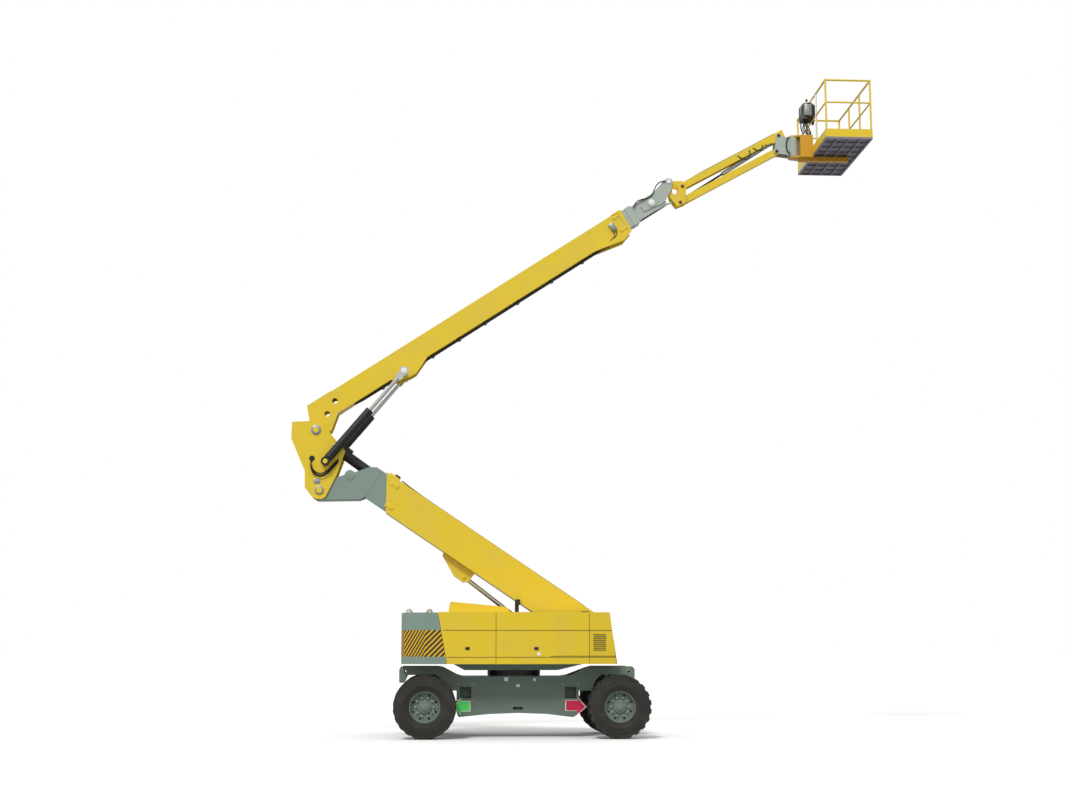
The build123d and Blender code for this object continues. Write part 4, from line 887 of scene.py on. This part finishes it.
class LIFT_OT_boom(LiftOperator):
    """Hose brackets, pads, pins, sensor box and hoses of the boom"""

    bl_idname = "lift.boom"
    bl_label = "Boom"

    def execute(self, context):
        brackets = []
        for x in BOOM_BRACKET_XS:
            brackets.append(block((x - 0.03, x + 0.03), (-0.12, 0.12), (0.022, 0.0645), 0.004))
            for y in (-0.1, 0.1):
                brackets.append(nut((x, y, 0.022), (0, 0, -1), 0.018, 0.008))
        finish_piece(brackets, "boom_hose_brackets", "boom_outer", "black satin enamel", BOOM)
        lines = bundle(BOOM_HOSE_ROUTE, (-0.08, -0.04, 0.0, 0.04, 0.08), 0.012)
        finish_hoses(lines, "boom_hoses", "boom_outer", BOOM)
        pads = []
        for side in SIDES:
            for up in (0.13, 0.42):
                pads.append(block(BOOM_PAD_SPAN, (side * 0.18, side * 0.188),
                                  (up - 0.035, up + 0.035), 0.003))
                for dx in (-0.05, 0.05):
                    pads.append(nut((BOOM_PAD_X + dx, side * 0.187, up), (0, side, 0), 0.024, 0.012))
        for y in (-0.1, 0.1):
            pads.append(block((7.14, 7.28), (y - 0.05, y + 0.05), (0.492, 0.502), 0.003))
        finish_piece(pads, "boom_pad_plates", "boom_outer", "yellow booth paint", BOOM)
        near, far = SENSOR_SPAN
        sensor = [block((6.985, 7.09), (near, far), (0.2, 0.36), 0.006),
                  block((7.0, 7.075), (near - 0.004, near), (0.22, 0.34), 0.003)]
        finish_piece(sensor, "boom_sensor", "boom_outer", "galvanised steel", BOOM)
        cables = [hose([(7.0 + dx, -0.2, 0.2), (7.0 + dx, -0.19, 0.12), (6.9 + dx, -0.187, 0.075),
                        (6.6, -0.15, 0.05)], 0.006) for dx in (0.0, 0.05)]
        finish_hoses(cables, "boom_sensor_cables", "boom_outer", BOOM)
        holes = [peg(0.19, 0.133, side * 0.1805, side * 0.184, 0.03, 24, 0.001) for side in SIDES]
        finish_piece(holes, "boom_drain_plugs", "boom_outer", "galvanised steel", BOOM)
        discs = []
        for side in SIDES:
            y = side * BOOM_CYLINDER_PIN_END
            discs.append(peg(*BOOM_CYLINDER_PIN, y, y + side * 0.008, 0.056, 32, 0.003))
        finish_piece(discs, "boom_pin_discs", "boom_rods", "white vinyl film", BOOM)
        finish_hoses(bundle(FLY_HOSE_ROUTE, (-0.15, -0.17), 0.010), "fly_hoses", "boom_fly", BOOM)
        rings = [peg(x, z, side * near, side * far, radius, 32, 0.004)
                 for side in SIDES for x, z, near, far, radius in FLY_PINS]
        finish_piece(rings, "fly_pin_caps", "boom_fly", "white vinyl film", BOOM)
        nylon = [block((7.285, 7.345), (side * 0.1567, side * 0.169), (foot, foot + 0.09), 0.002)
                 for side in SIDES for foot in (0.10, 0.36)]
        finish_piece(nylon, "boom_wear_pads", "boom_outer", "wear pad nylon", BOOM)
        return {"FINISHED"}


JIB_HOSE_ROUTE = ((0.05, 0.062), (0.3, 0.088), (1.1, 0.086), (1.8, 0.086), (2.2, 0.088))
JIB_LOWER_HEAD_PIN = Vector((5.26, 0, 11.489))
ROTATOR_X = 5.6
ROTATOR_TOP = 11.799


class LIFT_OT_jib(LiftOperator):
    """Pins, hose loops and fittings of the jib and its head"""

    bl_idname = "lift.jib"
    bl_label = "Jib"

    def execute(self, context):
        caps = [peg(centre.x, centre.z, side * 0.12, side * 0.1285, 0.034, 28, 0.003)
                for side in SIDES for centre in (pivot("jib_lift"), pivot("jib_lower_pin"))]
        finish_piece(caps, "tip_link_pins", "tip_link", "pin red oxide")
        finish_hoses(bundle(JIB_HOSE_ROUTE, (-0.045, 0.0, 0.045), 0.010), "jib_top_hoses", "jib_upper", UPPER)
        loops = [hose([(1.30, -0.1, 0.03), (1.35, -0.112, -0.09), (1.45, -0.114, -0.135),
                       (1.54, -0.112, -0.09), (1.57, -0.1, 0.02)], 0.011),
                 hose([(1.66, -0.1, 0.02), (1.7, -0.112, -0.07), (1.79, -0.113, -0.11),
                       (1.86, -0.1, -0.02)], 0.011)]
        finish_hoses(loops, "jib_side_hoses", "jib_upper", UPPER)
        pins = [peg(centre.x, centre.z, side * 0.123, side * 0.13, 0.032, 28, 0.003)
                for side in SIDES for centre in (pivot("jib_head_pin"), JIB_LOWER_HEAD_PIN)]
        for dx, dy in around(10, 0.09):
            pins.append(nut((ROTATOR_X + dx, dy, ROTATOR_TOP), (0, 0, 1), 0.016, 0.0008))
        finish_piece(pins, "jib_head_pins", "jib_head", "black satin enamel")
        turn = [hose([(5.52, -0.118, 11.78), (5.50, y, 11.79), (5.46, y, 11.72), (5.45, y, 11.53),
                      (5.50, y, 11.45), (5.53, -0.12, 11.44)], 0.010) for y in (-0.125, -0.143)]
        finish_hoses(turn, "rotator_hoses", "jib_head")
        return {"FINISHED"}


FLOOR_XS = (5.99, 6.91)
FLOOR_HEIGHT = 11.41
FLOOR_HALF_WIDTH = 1.185
GRATING_GAPS = 24
GRATING_CROSS_GAPS = 9
LEVER_X = 5.9
LID_OUTLINE = ((5.795, 12.475), (5.95, 12.505), (6.055, 12.425), (6.06, 12.435), (5.952, 12.515),
               (5.793, 12.484))
GUARD_ROUTE = ((5.86, 12.15), (5.74, 12.15), (5.73, 12.3), (5.74, 12.44), (5.86, 12.44))


class LIFT_OT_basket(LiftOperator):
    """Grating, levers, post, hoses and foot switch of the basket"""

    bl_idname = "lift.basket"
    bl_label = "Basket"

    def execute(self, context):
        self.add_grating()
        self.add_levers()
        side_box = [block((5.81, 5.95), (-0.3, -0.192), (12.2, 12.43), 0.008)]
        finish_piece(side_box, "console_grey_box", "basket", "galvanised steel")
        lid = sheet_plate(LID_OUTLINE, -0.185, 0.185, 0.001)
        finish_piece([lid], "console_lid", "basket", "white vinyl film")
        post = [rod((6.0, -0.42, 11.62), (6.0, -0.42, 12.58), 0.014, 20)]
        finish_piece(post, "load_post", "basket", "white vinyl film")
        lines = [hose([(5.9, y, 12.19), (5.88 - 0.02 * i, y, 12.05), (5.93, y * 1.2, 11.95),
                       (5.965, y, 11.88), (5.955, y, 11.835)], 0.011)
                 for i, y in enumerate((-0.12, -0.05, 0.03, 0.1))]
        lines.append(hose([(5.85, -0.2, 12.2), (5.76, -0.24, 12.1), (5.72, -0.22, 11.95),
                           (5.8, -0.15, 11.84)], 0.012))
        finish_hoses(lines, "console_hoses", "basket")
        guard = bundle(GUARD_ROUTE, (-0.26,), 0.008)
        finish_piece(guard, "console_guard", "basket", "galvanised steel")
        switch = [block((6.0, 6.14), (-0.3, -0.14), (11.453, 11.475), 0.006),
                  block((6.02, 6.12), (-0.29, -0.15), (11.475, 11.5), 0.008)]
        finish_piece(switch, "foot_switch", "basket", "moulded black plastic")
        return {"FINISHED"}

    def add_grating(self):
        """Flat bars along the basket and thin round ones across them."""
        rear, front = FLOOR_XS
        bars = []
        for i in range(1, GRATING_GAPS):
            y = 2 * FLOOR_HALF_WIDTH * i / GRATING_GAPS - FLOOR_HALF_WIDTH
            bars.append(block((rear + 0.045, front - 0.045), (y - 0.004, y + 0.004),
                              (FLOOR_HEIGHT + 0.036, FLOOR_HEIGHT + 0.042), 0))
        for i in range(1, GRATING_CROSS_GAPS):
            x = rear + (front - rear) * i / GRATING_CROSS_GAPS
            bars.append(peg(x, FLOOR_HEIGHT + 0.040, -1.18, 1.18, 0.003, 8, 0))
        finish_piece(bars, "floor_grating", "basket", "galvanised steel")

    def add_levers(self):
        """Two levers with a ball and a boot each, and three push buttons between them."""
        knobs = []
        for y in (-0.1, 0.1):
            knobs.append(rod((LEVER_X, y, 12.46), (LEVER_X - 0.005, y, 12.56), 0.009, 16))
            deselect()
            bpy.ops.mesh.primitive_uv_sphere_add(segments=24, ring_count=14, radius=0.026,
                                                 location=(LEVER_X - 0.005, y, 12.57))
            knobs.append(bpy.context.object)
            deselect()
            bpy.ops.mesh.primitive_cone_add(vertices=24, radius1=0.035, radius2=0.014, depth=0.05,
                                            location=(LEVER_X, y, 12.50))
            knobs.append(bpy.context.object)
        for y in (-0.04, 0.0, 0.04):
            knobs.append(rod((5.86, y, 12.476), (5.858, y, 12.492), 0.011, 16))
        finish_piece(knobs, "console_levers", "basket", "moulded black plastic")


class LIFT_PT_panel(bpy.types.Panel):
    """Sidebar panel with the dressing steps"""

    bl_idname = "LIFT_PT_panel"
    bl_label = "Boom lift"
    bl_space_type = "VIEW_3D"
    bl_region_type = "UI"
    bl_category = "Boom Lift"

    def draw(self, context):
        for step in STEPS:
            self.layout.operator(step.bl_idname)


STEPS = (LIFT_OT_stage, LIFT_OT_finishes, LIFT_OT_wheels, LIFT_OT_chassis, LIFT_OT_cowls,
         LIFT_OT_turntable, LIFT_OT_arm, LIFT_OT_boom, LIFT_OT_jib, LIFT_OT_basket)
CLASSES = (LiftPaint, LiftSizes, *STEPS, LIFT_PT_panel)


def register():
    """Makes the steps, the panel and the settings known."""
    for item in CLASSES:
        bpy.utils.register_class(item)
    bpy.types.Scene.lift_paint = PointerProperty(type=LiftPaint)
    bpy.types.Scene.lift_sizes = PointerProperty(type=LiftSizes)


def unregister():
    """Takes away what register added."""
    del bpy.types.Scene.lift_sizes
    del bpy.types.Scene.lift_paint
    for item in reversed(CLASSES):
        bpy.utils.unregister_class(item)


def main():
    """Makes the steps known and runs each of them in turn."""
    register()
    for step in STEPS:
        group, name = step.bl_idname.split(".")
        getattr(getattr(bpy.ops, group), name)()


if __name__ == "__main__":
    main()
